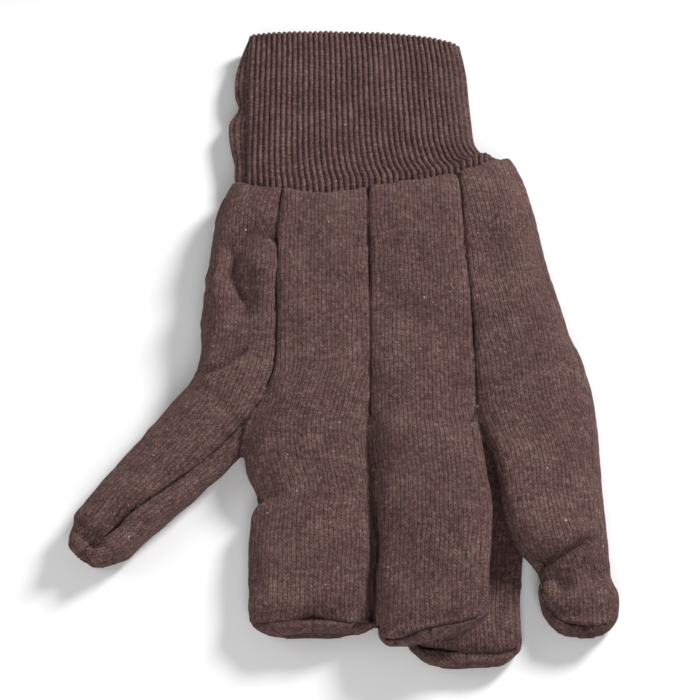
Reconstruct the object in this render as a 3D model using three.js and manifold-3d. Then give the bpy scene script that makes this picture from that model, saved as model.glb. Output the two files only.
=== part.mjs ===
// A cotton jersey work glove lying palm down, with its ring finger tucked under its neighbours.
// Millimetres, +Z up, wrist towards +Y, fingers towards -Y, thumb towards -X.
// The palm side is one panel that wraps up round every digit. The back is five strips, sewn to it
// and to each other. A rib-knit cuff is sewn to the mouth. Every piece is a wall round one hollow.
import * as THREE from "three";
import Module from "manifold-3d";

const wasm = await Module();
wasm.setup();

// Driving dimensions.
const jerseyWall = 1.8;
const seamGap = 0.3; // between pieces that are sewn together
const seamWrap = 3.1; // palm fabric that turns up beside each seam
const palmLength = 104; // cuff seam to the finger crotches
const bodyThickness = 20;
const thumbStripWidth = 27;
const indexStripWidth = 34.5;
const middleStripWidth = 37.5;
const littleStripWidth = 32;

const indexLength = 71;
const indexWidth = 43;
const middleLength = 76;
const middleWidth = 38;
const ringLength = 82;
const ringWidth = 39;
const littleLength = 72;
const littleWidth = 38.5;
const thumbLength = 115; // from the level where it leaves the palm
const thumbWidth = 33.5;
const thumbTurn = 41; // degrees away from the fingers
const thumbPinch = 0.4; // share of its width that the thumb's end loses
const fingerThickness = 15;
const ringThickness = 9;
const tipLength = 12; // shaped end of a finger

const cuffLength = 79.5;
const cuffWidth = 98;
const cuffThickness = 14;
const cuffWall = 2.4;
const ribCount = 58;
const ribHeight = 0.9;
const pleatInset = 6; // of the fold down the thumb side of the cuff
const pleatDrop = 2.2;

const acrossStrip = 5; // facets across a back strip
const acrossHollow = 4;
const palmFlat = 0.4; // share of the palm side that lies flat
const palmShares = [-1, -0.94, -0.8, -palmFlat, palmFlat, 0.8, 0.94]; // points round the palm side
const hollowShares = [-1, -0.93, -0.65, 0, 0.65, 0.93];
const aroundCuffHollow = 24;

const rad = THREE.MathUtils.degToRad;
const clamp = THREE.MathUtils.clamp;
const stripTotal = thumbStripWidth + indexStripWidth + middleStripWidth + littleStripWidth;
const palmLeft = -stripTotal * 0.416;
const seamA = palmLeft + thumbStripWidth; // thumb strip to index strip
const seamB = seamA + indexStripWidth; // index strip to middle strip
const seamC = seamB + middleStripWidth; // middle strip to little strip
const palmRight = seamC + littleStripWidth;
const crotchY = -palmLength * 0.32;
const mouthY = crotchY + palmLength;

// Rows down the back of the hand from the cuff seam. along is a share of palmLength. left, a, c and
// right move the seams and sides by shares of the strip beside them, and slab moves the palm's flat
// inner form off the thumb side. high is a share of bodyThickness. slant and bow lift the row
// towards the little finger and at both sides, in shares of the length and of the palm's length.
const palmRows = [
  { along: 0.0, left: 0.33, a: 0.0, c: -0.04, right: -0.58, slab: 0, high: 0.72, slant: 0.13, bow: 0.115 },
  { along: 0.035, left: 0.27, a: 0.0, c: -0.04, right: -0.39, slab: 0, high: 0.88, slant: 0.126, bow: 0.106 },
  { along: 0.1, left: 0.12, a: -0.01, c: -0.03, right: -0.28, slab: 0, high: 0.97, slant: 0.115, bow: 0.067 },
  { along: 0.2, left: 0.055, a: -0.01, c: -0.03, right: -0.18, slab: 0, high: 1.0, slant: 0.09, bow: 0.03 },
  { along: 0.34, left: 0.02, a: -0.01, c: -0.02, right: -0.08, slab: 0, high: 0.98, slant: 0.05, bow: 0.01 },
  { along: 0.48, left: 0.0, a: 0.0, c: 0.0, right: 0.03, slab: 0, high: 0.95, slant: 0.015, bow: 0 },
  { along: 0.62, left: 0.0, a: 0.015, c: 0.01, right: 0.13, slab: 0.05, high: 0.95, slant: 0, bow: 0 },
  { along: 0.76, left: 0.0, a: 0.04, c: 0.01, right: 0.27, slab: 0.3, high: 0.93, slant: 0, bow: 0 },
  { along: 0.9, left: 0.0, a: -0.13, c: 0.0, right: 0.34, slab: 0.7, high: 0.9, slant: 0, bow: 0 },
];
const palmRowsToThumb = 6;

// Rows down each digit. along is a share of its length, shift and half are shares of its width, low
// and high are shares of its thickness, tilt is in degrees with the little-finger side up, turn is
// a share of the digit's turn.
const indexRows = [
  { along: 0.03, shift: 0.0, half: 0.525, low: 0, high: 1.15, tilt: 0 },
  { along: 0.18, shift: 0.025, half: 0.515, low: 0, high: 1.02, tilt: 0 },
  { along: 0.34, shift: 0.08, half: 0.468, low: 0, high: 0.9, tilt: 0 },
  { along: 0.44, shift: 0.058, half: 0.5, low: 0, high: 0.98, tilt: 0 },
  { along: 0.6, shift: 0.064, half: 0.508, low: 0, high: 1.0, tilt: 0 },
  { along: 0.77, shift: 0.06, half: 0.5, low: 0, high: 0.98, tilt: 0 },
];
const middleRows = [
  { along: 0.02, shift: 0.0, half: 0.495, low: 0.3, high: 1.26, tilt: 2 },
  { along: 0.14, shift: 0.02, half: 0.495, low: 0.56, high: 1.38, tilt: 8 },
  { along: 0.28, shift: 0.05, half: 0.49, low: 0.62, high: 1.42, tilt: 11 },
  { along: 0.42, shift: 0.066, half: 0.485, low: 0.64, high: 1.46, tilt: 12 },
  { along: 0.58, shift: 0.05, half: 0.49, low: 0.64, high: 1.48, tilt: 12 },
  { along: 0.78, shift: 0.008, half: 0.503, low: 0.64, high: 1.42, tilt: 12 },
];
const ringRows = [
  { along: -0.18, shift: 0.26, half: 0.3, low: 0, high: 0.75, tilt: 0 },
  { along: 0.0, shift: 0.2, half: 0.4, low: 0, high: 0.82, tilt: 0 },
  { along: 0.18, shift: 0.14, half: 0.46, low: 0, high: 0.94, tilt: 0 },
  { along: 0.36, shift: 0.06, half: 0.49, low: 0, high: 0.98, tilt: 0 },
  { along: 0.56, shift: 0.0, half: 0.5, low: 0, high: 1.0, tilt: 0 },
  { along: 0.78, shift: -0.04, half: 0.5, low: 0, high: 1.0, tilt: 0 },
];
const littleRows = [
  { along: 0.03, shift: -0.02, half: 0.56, low: 0.12, high: 1.2, tilt: -2 },
  { along: 0.17, shift: 0.017, half: 0.52, low: 0.32, high: 1.18, tilt: -9 },
  { along: 0.32, shift: 0.043, half: 0.494, low: 0.36, high: 1.16, tilt: -12 },
  { along: 0.47, shift: 0.064, half: 0.46, low: 0.34, high: 1.14, tilt: -12 },
  { along: 0.6, shift: 0.118, half: 0.4, low: 0.26, high: 1.1, tilt: -9 },
  { along: 0.67, shift: 0.18, half: 0.338, low: 0.16, high: 0.98, tilt: -4 },
  { along: 0.73, shift: 0.225, half: 0.305, low: 0.08, high: 0.7, tilt: 0 },
  { along: 0.8, shift: 0.24, half: 0.345, low: 0.0, high: 0.88, tilt: 0 },
];
const thumbRows = [
  { along: 0.1, shift: 0.0, half: 0.47, low: 0, high: 1.24, tilt: 0, turn: 0.05 },
  { along: 0.19, shift: 0.02, half: 0.46, low: 0, high: 1.2, tilt: 0, turn: 0.2 },
  { along: 0.28, shift: 0.04, half: 0.45, low: 0, high: 1.22, tilt: 0, turn: 0.44 },
  { along: 0.35, shift: 0.06, half: 0.46, low: 0, high: 1.2, tilt: 0, turn: 0.7 },
  { along: 0.43, shift: 0.07, half: 0.475, low: 0, high: 1.14, tilt: 0, turn: 0.88 },
  { along: 0.61, shift: 0.06, half: 0.435, low: 0, high: 1.0, tilt: 0, turn: 1.0 },
  { along: 0.78, shift: 0.04, half: 0.38, low: 0, high: 0.92, tilt: 0, turn: 1.02 },
];

// A fingertip. back is the share of tipLength left to its end, the rest are shares of the last full
// section. The dip is the tip seam, and the roll past it is palm fabric.
const tipRows = [
  { back: 0.75, half: 0.99, low: 0.0, high: 0.97 },
  { back: 0.42, half: 0.95, low: 0.02, high: 0.74 },
  { back: 0.22, half: 0.93, low: 0.04, high: 0.84 },
  { back: 0.0, half: 0.82, low: 0.16, high: 0.64 },
];
const tipSeamBack = 0.42;

// Dents pressed into the back. x and y are shares of half the palm's width and of palmLength, reach
// and across are shares of palmLength, turn is in degrees, depth is a share of bodyThickness.
const dents = [
  { x: -0.68, y: 0.36, reach: 0.15, across: 0.1, turn: 65, depth: 0.24 },
  { x: -0.7, y: -0.03, reach: 0.16, across: 0.05, turn: 18, depth: 0.16 },
  { x: 1.1, y: -0.74, reach: 0.14, across: 0.035, turn: 22, depth: 0.18 },
];

// Rows up the cuff from its seam. along is a share of cuffLength, left and right are shares of
// cuffWidth inwards from its sides, high is a share of cuffThickness, slant and bow are shares of
// those of the seam.
const cuffRows = [
  { along: 0.0, left: 0.03, right: -0.06, high: 1.03, slant: 1, bow: 1 },
  { along: 0.18, left: 0.022, right: -0.01, high: 0.98, slant: 0.65, bow: 0.45 },
  { along: 0.44, left: 0.0, right: 0.005, high: 0.95, slant: 0.1, bow: 0 },
  { along: 0.59, left: 0.036, right: 0.012, high: 0.93, slant: 0, bow: 0 },
  { along: 0.74, left: 0.012, right: 0.016, high: 0.95, slant: -0.1, bow: 0 },
  { along: 0.98, left: 0.06, right: 0.035, high: 0.92, slant: -0.4, bow: -0.1 },
  { along: 1.0, left: 0.067, right: 0.042, high: 0.87, slant: -0.4, bow: -0.1 },
];

// Half sections of a flattened tube, from its left edge over to its right. Squareness 2 is an
// ellipse, and more is squarer.
const backSquareness = 2.35;
const palmSquareness = 3.4;
const middleShare = 0.42; // height of the section's widest level
function archHeight(share, squareness) {
  return (1 - Math.min(1, Math.abs(share)) ** squareness) ** (1 / squareness);
}

const evenArch = (squareness, steps) => (half, rise) => {
  const finePoints = 80;
  const fine = [];
  const reach = [0];
  for (let i = 0; i <= finePoints; i++) {
    const across = Math.cos((Math.PI * i) / finePoints);
    const share = -Math.sign(across) * Math.abs(across) ** (2 / squareness);
    fine.push(new THREE.Vector2(share * half, archHeight(share, squareness) * rise));
    if (i) reach.push(reach[i - 1] + fine[i].distanceTo(fine[i - 1]));
  }
  const points = [];
  for (let k = 0, i = 0; k < steps; k++) {
    const want = (reach[finePoints] * k) / steps;
    while (reach[i + 1] < want) i++;
    points.push(fine[i].clone().lerp(fine[i + 1], (want - reach[i]) / (reach[i + 1] - reach[i])));
  }
  return points;
};

const sharedArch = (squareness, shares, flatShare = 0) => (half, rise) =>
  shares.map((share) => {
    const height = Math.abs(share) <= flatShare ? 1 : archHeight(share, squareness);
    return new THREE.Vector2(share * half, height * rise);
  });

// With a point on each seam, and steps between them.
const seamedArch = (squareness, steps, sidePoints) => (half, rise, wrap) => {
  const seam = 1 - wrap / half;
  const sides = sidePoints.map((share) => 1 - (share * wrap) / half);
  const shares = [-1, ...sides.map((share) => -share)];
  for (let k = 0; k <= steps; k++) shares.push(seam * ((2 * k) / steps - 1));
  shares.push(...sides.toReversed());
  return sharedArch(squareness, shares)(half, rise);
};

function section(row, inset, back, palm) {
  const half = (row.right - row.left) / 2 - inset;
  const centre = (row.right + row.left) / 2;
  const low = row.low + inset;
  const high = row.high - inset;
  const middle = low + (high - low) * middleShare;
  return [
    ...back(half, high - middle, seamWrap - inset).map((p) => [centre + p.x, middle + p.y]),
    ...palm(half, middle - low).map((p) => [centre - p.x, middle - p.y]),
  ];
}

// Puts a side offset and a height of a row into the glove.
function placed(row, side, height) {
  const lean = rad(row.tilt);
  const centre = (row.left + row.right) / 2;
  const core = (row.low + row.high) / 2;
  const across = centre + (side - centre) * Math.cos(lean) - (height - core) * Math.sin(lean);
  const z = core + (side - centre) * Math.sin(lean) + (height - core) * Math.cos(lean);
  const [leftSide, rightSide] = row.sides ?? [-1, 1];
  const edge = clamp((2 * across - leftSide - rightSide) / (rightSide - leftSide), -1, 1);
  const along = row.slant * across + row.bow * edge ** 4;
  const turn = rad(row.turn);
  return new THREE.Vector3(
    row.x + across * Math.cos(turn) + along * Math.sin(turn),
    row.y - across * Math.sin(turn) + along * Math.cos(turn),
    z,
  );
}

function pressed(point, share) {
  for (const dent of dents) {
    const dx = point.x - (dent.x * stripTotal) / 2;
    const dy = point.y - dent.y * palmLength;
    const turn = rad(dent.turn);
    const along = (dx * Math.cos(turn) + dy * Math.sin(turn)) / (dent.reach * palmLength);
    const across = (dy * Math.cos(turn) - dx * Math.sin(turn)) / (dent.across * palmLength);
    point.z -= share * dent.depth * bodyThickness * Math.exp(-(along ** 2) - across ** 2);
  }
  return point;
}

// Closed solid through rings of points, each ring in the same order.
function loft(rings) {
  const count = rings[0].length;
  const points = rings.flat();
  const faces = [];
  for (let r = 0; r + 1 < rings.length; r++) {
    for (let i = 0; i < count; i++) {
      const here = r * count + i;
      const next = r * count + ((i + 1) % count);
      faces.push(here, here + count, next, next, here + count, next + count);
    }
  }
  for (const start of [0, (rings.length - 1) * count]) {
    const hub = new THREE.Vector3();
    for (let i = 0; i < count; i++) hub.addScaledVector(points[start + i], 1 / count);
    points.push(hub);
    const middle = points.length - 1;
    for (let i = 0; i < count; i++) {
      const here = start + i;
      const next = start + ((i + 1) % count);
      faces.push(...(start ? [middle, next, here] : [middle, here, next]));
    }
  }
  const vertProperties = new Float32Array(points.flatMap((p) => [p.x, p.y, p.z]));
  const triVerts = new Uint32Array(faces);
  return new wasm.Manifold(new wasm.Mesh({ numProp: 3, vertProperties, triVerts }));
}

const join = (solids) => solids.reduce((all, solid) => all.add(solid));

// Seam lines and sides of the palm in a row.
const sideLeft = (row) => palmLeft + row.left * thumbStripWidth;
const lineA = (row) => seamA + row.a * indexStripWidth;
const lineB = () => seamB;
const lineC = (row) => seamC + row.c * middleStripWidth;
const sideRight = (row) => palmRight + row.right * littleStripWidth;
const thumbSeam = (row) => sideLeft(row) + seamWrap;
const littleSeam = (row) => sideRight(row) - seamWrap;

function palmSections(seamLeft, seamRight, rows = palmRows) {
  return rows.map((row) => ({
    x: 0,
    y: mouthY - row.along * palmLength,
    turn: 0,
    tilt: 0,
    slant: row.slant,
    bow: row.bow * palmLength,
    sides: [sideLeft(row), sideRight(row)],
    left: seamLeft(row) - seamWrap,
    right: seamRight(row) + seamWrap,
    low: 0,
    high: row.high * bodyThickness,
  }));
}

// Sections of a digit, along a centre line that turns with its rows.
function digitSections(rows, digit) {
  const turnOf = (row) => (row.turn ?? 0) * (digit.turn ?? 0);
  const last = rows[rows.length - 1];
  const depth = last.high - last.low;
  const tips = tipRows.map((tip) => ({
    ...last,
    along: 1 - (tip.back * tipLength) / digit.length,
    half: last.half * tip.half * (1 - (digit.pinch ?? 0) * (1 - tip.back)),
    low: last.low + depth * tip.low,
    high: last.low + depth * tip.high,
    back: tip.back,
  }));
  const spot = new THREE.Vector2(digit.x, digit.y);
  let from = { along: 0, turn: 0 };
  return [...rows, ...tips].map((row) => {
    const heading = rad((turnOf(row) + turnOf(from)) / 2);
    const step = (row.along - from.along) * digit.length;
    spot.x -= Math.sin(heading) * step;
    spot.y -= Math.cos(heading) * step;
    from = row;
    return {
      x: spot.x,
      y: spot.y,
      turn: turnOf(row),
      tilt: row.tilt,
      slant: 0,
      bow: 0,
      left: (row.shift - row.half) * digit.width,
      right: (row.shift + row.half) * digit.width,
      low: row.low * digit.thickness,
      high: row.high * digit.thickness,
      back: row.back,
    };
  });
}

const digitArches = [
  seamedArch(backSquareness, acrossStrip, [0.3]),
  sharedArch(palmSquareness, palmShares, palmFlat),
];
const hollowArches = [
  seamedArch(backSquareness, acrossHollow, []),
  sharedArch(palmSquareness, hollowShares),
];
function tube(sections, arches, inset = 0) {
  const rings = sections.map((row) => {
    const middle = (row.low + row.high) / 2;
    return section(row, inset, ...arches).map(([side, height]) =>
      pressed(placed(row, side, height), clamp((height - middle) / (row.high - middle), 0, 1)),
    );
  });
  return loft(rings);
}

// Forms run past the cuff seam before they are cut off at it.
const past = (sections, length) => [{ ...sections[0], y: sections[0].y + length }, ...sections];

// A hollow ends short of the fingertip.
function hollow(sections) {
  const rows = sections.filter((row) => row.back === undefined || row.back > tipSeamBack / 2);
  return tube(past(rows, 3 * jerseyWall), hollowArches, jerseyWall);
}

// What belongs to a back strip: all above the middle of a digit, between its seams.
const roofSteps = 10;
function stripCutter(sections, grow) {
  const rows = sections.filter((row) => row.back === undefined || row.back >= tipSeamBack);
  const rings = past(rows, 3 * jerseyWall).map((row) => {
    const left = row.left + seamWrap + seamGap / 2 - grow;
    const right = row.right - seamWrap - seamGap / 2 + grow;
    const middle = row.low + (row.high - row.low) * middleShare;
    const floor = row.low + (row.high - row.low) * 0.5 - grow;
    const ring = [placed(row, left, floor)];
    for (let k = 0; k <= roofSteps; k++) {
      const side = left + ((right - left) * k) / roofSteps;
      const share = (2 * side - row.left - row.right) / (row.right - row.left);
      const roof = middle + (row.high - middle) * archHeight(share, backSquareness);
      ring.push(placed(row, side, roof + seamGap + grow));
    }
    ring.push(placed(row, right, floor));
    return ring;
  });
  return loft(rings);
}

const finger = { y: crotchY, thickness: fingerThickness };
const digits = {
  thumb: digitSections(thumbRows, {
    x: palmLeft + thumbStripWidth * 0.57,
    y: mouthY - palmRows[palmRowsToThumb - 1].along * palmLength,
    length: thumbLength,
    width: thumbWidth,
    thickness: fingerThickness,
    turn: thumbTurn,
    pinch: thumbPinch,
  }),
  index: digitSections(indexRows, {
    ...finger,
    x: seamB - indexWidth * 0.514,
    length: indexLength,
    width: indexWidth,
  }),
  middle: digitSections(middleRows, {
    ...finger,
    x: seamB + middleWidth * 0.51,
    length: middleLength,
    width: middleWidth,
  }),
  ring: digitSections(ringRows, {
    x: seamC - ringWidth * 0.13,
    y: crotchY,
    length: ringLength,
    width: ringWidth,
    thickness: ringThickness,
  }),
  little: digitSections(littleRows, {
    ...finger,
    x: seamC + littleWidth * 0.594,
    length: littleLength,
    width: littleWidth,
  }),
};
const strips = {
  thumb: [...palmSections(thumbSeam, lineA, palmRows.slice(0, palmRowsToThumb)), ...digits.thumb],
  index: [...palmSections(lineA, lineB), ...digits.index],
  middle: [...palmSections(lineB, lineC), ...digits.middle],
  ring: digits.ring,
  little: [...palmSections(lineC, littleSeam), ...digits.little],
};

// The flat middle of the palm, which runs under all the strips.
const slabHigh = 0.72;
const slabSections = palmSections(thumbSeam, littleSeam).map((row, i) => ({
  ...row,
  left: row.left + palmRows[i].slab * thumbStripWidth,
  right: row.right - (palmRows[i].slab ? seamWrap : 0),
  high: row.high * slabHigh,
}));
slabSections.push({
  ...slabSections.at(-1),
  y: crotchY,
  left: seamA,
  low: jerseyWall,
  high: bodyThickness * slabHigh * slabHigh,
});

// The glove's side of the cuff seam, less a clearance.
const mouthSteps = 24;
const farAway = 3 * palmLength;
function gloveSide(clearance) {
  const [row] = palmSections(thumbSeam, littleSeam);
  const from = row.sides[0] - seamWrap;
  const to = row.sides[1] + seamWrap;
  return loft(
    [-farAway, farAway].map((height) => {
      const ring = [
        new THREE.Vector3(farAway, -farAway, height),
        new THREE.Vector3(-farAway, -farAway, height),
      ];
      for (let k = 0; k <= mouthSteps; k++) {
        const side = from + ((to - from) * k) / mouthSteps;
        const point = placed(row, side, height);
        point.y -= clearance;
        ring.push(point);
      }
      return ring;
    }),
  );
}

const forms = [...Object.values(strips), slabSections];
const outer = join(forms.map((sections) => tube(past(sections, jerseyWall), digitArches)));
const shell = outer.subtract(join(forms.map(hollow))).intersect(gloveSide(0));

const cutters = (grow) => Object.values(strips).map((sections) => stripCutter(sections, grow));
const [thumbCut, indexCut, middleCut, ringCut, littleCut] = cutters(0);
const [thumbRoom, indexRoom, middleRoom, ringRoom, littleRoom] = cutters(seamGap);
const palmPanel = shell.subtract(join([thumbRoom, indexRoom, middleRoom, ringRoom, littleRoom]));

// The cuff, with ribs from its seam to its rim.
const cuffLeft = sideLeft(palmRows[0]) - cuffRows[0].left * cuffWidth;
const cuffRight = cuffLeft + cuffWidth;
const seamRow = palmSections(thumbSeam, littleSeam)[0];
const cuffSections = cuffRows.map((row) => ({
  x: 0,
  y: mouthY + seamGap + row.along * cuffLength,
  turn: 0,
  tilt: 0,
  slant: seamRow.slant * row.slant,
  bow: seamRow.bow * row.bow,
  sides: seamRow.sides,
  left: cuffLeft + row.left * cuffWidth,
  right: cuffRight - row.right * cuffWidth,
  low: (cuffThickness * (1.03 - row.high) + ribHeight) / 2,
  high: (cuffThickness * (1.03 + row.high) + ribHeight) / 2,
}));
function cuffRing(row, steps, inset, ribs) {
  const arches = [evenArch(backSquareness, steps / 2), evenArch(palmSquareness, steps / 2)];
  const middle = (row.low + row.high) / 2;
  const half = (row.right - row.left) / 2;
  return section(row, inset, ...arches).map(([side, height], i) => {
    const point = placed(row, side, height);
    if (ribs) {
      const out = (i % 2 ? 0.5 : -0.5) * ribHeight;
      point.z += out * Math.sign(height - middle) * Math.min(1, Math.abs(height - middle) / 4);
      point.x += out * ((side - row.left - half) / half) ** 15;
    }
    const fold = clamp((row.left + pleatInset - side) / 3, 0, 1);
    if (height > middle) point.z -= pleatDrop * fold * clamp((height - middle) / 4, 0, 1);
    return point;
  });
}
// Forms of the cuff from its rim to past its seam, where they are cut off.
const fromRim = cuffSections.toReversed();
const pastSeam = (length) => past(cuffSections, -length)[0];
const cuffOuter = loft(
  [...fromRim, pastSeam(cuffWall)].map((row) => cuffRing(row, ribCount * 2, 0, true)),
);
const cuffInner = loft(
  [...past(fromRim, cuffWall), pastSeam(2 * cuffWall)].map((row) =>
    cuffRing(row, aroundCuffHollow, cuffWall, false),
  ),
);
const cuff = cuffOuter.subtract(cuffInner).subtract(gloveSide(-seamGap));

// The largest body of a cut, without slivers and without edges too short to matter.
const shortEdge = 0.04;
function whole(solid) {
  const bodies = solid.decompose().sort((one, other) => other.volume() - one.volume());
  return bodies[0].simplify(shortEdge);
}

function node(name, solid, color, roughness) {
  const made = whole(solid).getMesh();
  const positions = new Float32Array(made.numVert * 3);
  for (let i = 0; i < made.numVert; i++) {
    positions.set(made.vertProperties.subarray(i * made.numProp, i * made.numProp + 3), i * 3);
  }
  const geometry = new THREE.BufferGeometry()
    .setAttribute("position", new THREE.BufferAttribute(positions, 3))
    .setIndex(new THREE.BufferAttribute(new Uint32Array(made.triVerts), 1));
  geometry.computeVertexNormals();
  const mesh = new THREE.Mesh(geometry, new THREE.MeshStandardMaterial({ color, roughness, metalness: 0 }));
  mesh.name = name;
  return mesh;
}

const jerseyBrown = 0x5b4640;
const ribBrown = 0x564039;
const glove = new THREE.Group();
glove.name = "cotton_work_glove";
glove.add(
  node("knit_cuff", cuff, ribBrown, 0.95),
  node("palm_panel", palmPanel, jerseyBrown, 0.95),
  node("thumb_strip", shell.intersect(thumbCut).subtract(indexRoom), jerseyBrown, 0.95),
  node("index_strip", shell.intersect(indexCut), jerseyBrown, 0.95),
  node("middle_strip", shell.intersect(middleCut), jerseyBrown, 0.95),
  node("ring_strip", shell.intersect(ringCut), jerseyBrown, 0.95),
  node("little_strip", shell.intersect(littleCut), jerseyBrown, 0.95),
);

// The origin goes to the middle of the glove's underside.
const box = new THREE.Box3().setFromObject(glove);
const middle = box.getCenter(new THREE.Vector3());
for (const mesh of glove.children) mesh.geometry.translate(-middle.x, -middle.y, -box.min.z);
export default glove;
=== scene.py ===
# A brown cotton jersey work glove, lying palm down on a pale table.
# The glove is drawn in millimetres on a table at height 0, with the fingers towards -Y and the thumb
# towards -X. It goes into the frame in metres.
import math

import bpy
import numpy as np
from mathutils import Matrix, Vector, noise


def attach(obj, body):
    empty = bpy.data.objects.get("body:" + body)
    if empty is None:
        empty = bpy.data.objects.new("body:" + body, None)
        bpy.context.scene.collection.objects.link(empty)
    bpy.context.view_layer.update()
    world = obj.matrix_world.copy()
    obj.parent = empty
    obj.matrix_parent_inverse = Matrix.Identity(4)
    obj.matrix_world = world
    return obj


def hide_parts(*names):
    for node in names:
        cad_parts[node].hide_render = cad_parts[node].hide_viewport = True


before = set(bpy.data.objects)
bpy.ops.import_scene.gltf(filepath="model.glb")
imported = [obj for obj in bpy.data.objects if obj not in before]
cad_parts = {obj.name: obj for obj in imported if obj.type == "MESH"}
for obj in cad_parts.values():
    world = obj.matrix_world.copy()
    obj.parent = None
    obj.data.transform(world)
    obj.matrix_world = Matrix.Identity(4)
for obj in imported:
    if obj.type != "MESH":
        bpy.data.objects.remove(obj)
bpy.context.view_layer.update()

MM = 0.001
# Where the drawing's origin lies in the frame, in millimetres.
DRAWING_AT = np.array([3.59, -18.3, 0.0])

# Sizes of the glove in millimetres, and the turn of the thumb in degrees. SEAM_WRAP is how far the
# palm wraps up round the edge of the hand.
JERSEY_WALL = 1.6
SEAM_WRAP = 3.1
PALM_LENGTH = 104.0
BODY_THICKNESS = 20.0
THUMB_STRIP = 27.0
INDEX_STRIP = 34.5
MIDDLE_STRIP = 37.5
LITTLE_STRIP = 32.0
THUMB_WIDTH = 33.5
INDEX_WIDTH = 43.0
MIDDLE_WIDTH = 38.0
RING_WIDTH = 39.0
LITTLE_WIDTH = 38.5
THUMB_LENGTH = 116.5
INDEX_LENGTH = 73.5
MIDDLE_LENGTH = 77.5
RING_LENGTH = 84.0
LITTLE_LENGTH = 73.0
DIGIT_THICKNESS = 15.0
RING_THICKNESS = 9.0
THUMB_TURN = 41.0

# The edges of the hand, the seams between its strips, the crotches and the cuff seam.
STRIP_TOTAL = THUMB_STRIP + INDEX_STRIP + MIDDLE_STRIP + LITTLE_STRIP
PALM_LEFT = -STRIP_TOTAL * 0.416
SEAM_A = PALM_LEFT + THUMB_STRIP
SEAM_B = SEAM_A + INDEX_STRIP
SEAM_C = SEAM_B + MIDDLE_STRIP
PALM_RIGHT = SEAM_C + LITTLE_STRIP
CROTCH_Y = -PALM_LENGTH * 0.32
MOUTH_Y = CROTCH_Y + PALM_LENGTH
# Length of a digit's rounded end, and how far back from the end its seam lies, as a share of that.
TIP_LENGTH = 12.0
TIP_SEAM_BACK = 0.42
# How square a section is over the back and under the palm, and at what share of its height it is
# widest.
BACK_SQUARENESS = 2.35
PALM_SQUARENESS = 3.4
WIDEST_LEVEL = 0.42
# Points of a section over the back and under the palm.
BACK_POINTS = 72
PALM_POINTS = 48

# Across the hand from cuff seam to crotches: along, left, a, c, right, slab, high, slant, bow.
# Along and bow are shares of the palm's length, left to slab are shares of a strip's width, and high
# is a share of the hand's thickness.
PALM_ROWS = [
    (0.0, 0.33, 0.0, -0.04, -0.58, 0.0, 0.72, 0.13, 0.115),
    (0.035, 0.27, 0.0, -0.04, -0.39, 0.0, 0.88, 0.126, 0.106),
    (0.1, 0.12, -0.01, -0.03, -0.28, 0.0, 0.97, 0.115, 0.067),
    (0.2, 0.055, -0.01, -0.03, -0.18, 0.0, 1.0, 0.09, 0.03),
    (0.34, 0.02, -0.01, -0.02, -0.08, 0.0, 0.98, 0.05, 0.01),
    (0.48, 0.0, 0.0, 0.0, 0.03, 0.0, 0.95, 0.015, 0.0),
    (0.62, 0.0, 0.015, 0.01, 0.13, 0.05, 0.95, 0.0, 0.0),
    (0.76, 0.0, 0.04, 0.01, 0.27, 0.3, 0.93, 0.0, 0.0),
    (0.9, 0.0, -0.13, 0.0, 0.34, 0.7, 0.9, 0.0, 0.0),
]
ROWS_TO_THUMB = 6

# Down each digit: along, shift, half, low, high, tilt, turn. Along is a share of its length, shift
# and half are shares of its width, low and high of its thickness, and turn is a share of its whole
# turn. Tilt is in degrees.
INDEX_ROWS = [
    (0.03, 0.0, 0.525, 0.0, 1.15, 0, 0),
    (0.18, 0.03, 0.52, 0.0, 1.02, 0, 0),
    (0.34, 0.092, 0.48, 0.0, 0.92, 0, 0),
    (0.44, 0.07, 0.512, 0.0, 1.0, 0, 0),
    (0.6, 0.076, 0.52, 0.0, 1.04, 0, 0),
    (0.77, 0.07, 0.51, 0.0, 1.0, 0, 0),
]
MIDDLE_ROWS = [
    (0.02, 0.0, 0.495, 0.3, 1.26, 2, 0),
    (0.14, 0.02, 0.495, 0.56, 1.38, 8, 0),
    (0.28, 0.042, 0.5, 0.6, 1.42, 11, 0),
    (0.42, 0.05, 0.505, 0.6, 1.46, 12, 0),
    (0.58, 0.038, 0.505, 0.6, 1.48, 12, 0),
    (0.78, 0.008, 0.503, 0.64, 1.42, 12, 0),
]
RING_ROWS = [
    (-0.18, 0.26, 0.3, 0.0, 0.75, 0, 0),
    (0.0, 0.2, 0.4, 0.0, 0.82, 0, 0),
    (0.18, 0.14, 0.46, 0.0, 0.62, 0, 0),
    (0.36, 0.06, 0.49, 0.0, 0.58, 0, 0),
    (0.56, 0.0, 0.5, 0.0, 0.66, 0, 0),
    (0.78, -0.04, 0.5, 0.0, 1.0, 0, 0),
]
LITTLE_ROWS = [
    (0.03, 0.0, 0.54, 0.12, 1.2, -2, 0),
    (0.17, 0.045, 0.492, 0.32, 1.22, -9, 0),
    (0.32, 0.056, 0.481, 0.36, 1.22, -12, 0),
    (0.47, 0.066, 0.458, 0.34, 1.2, -12, 0),
    (0.6, 0.118, 0.4, 0.26, 1.12, -9, 0),
    (0.67, 0.18, 0.338, 0.16, 1.0, -4, 0),
    (0.74, 0.225, 0.31, 0.08, 0.84, 0, 0),
    (0.81, 0.24, 0.345, 0.0, 0.9, 0, 0),
]
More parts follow.
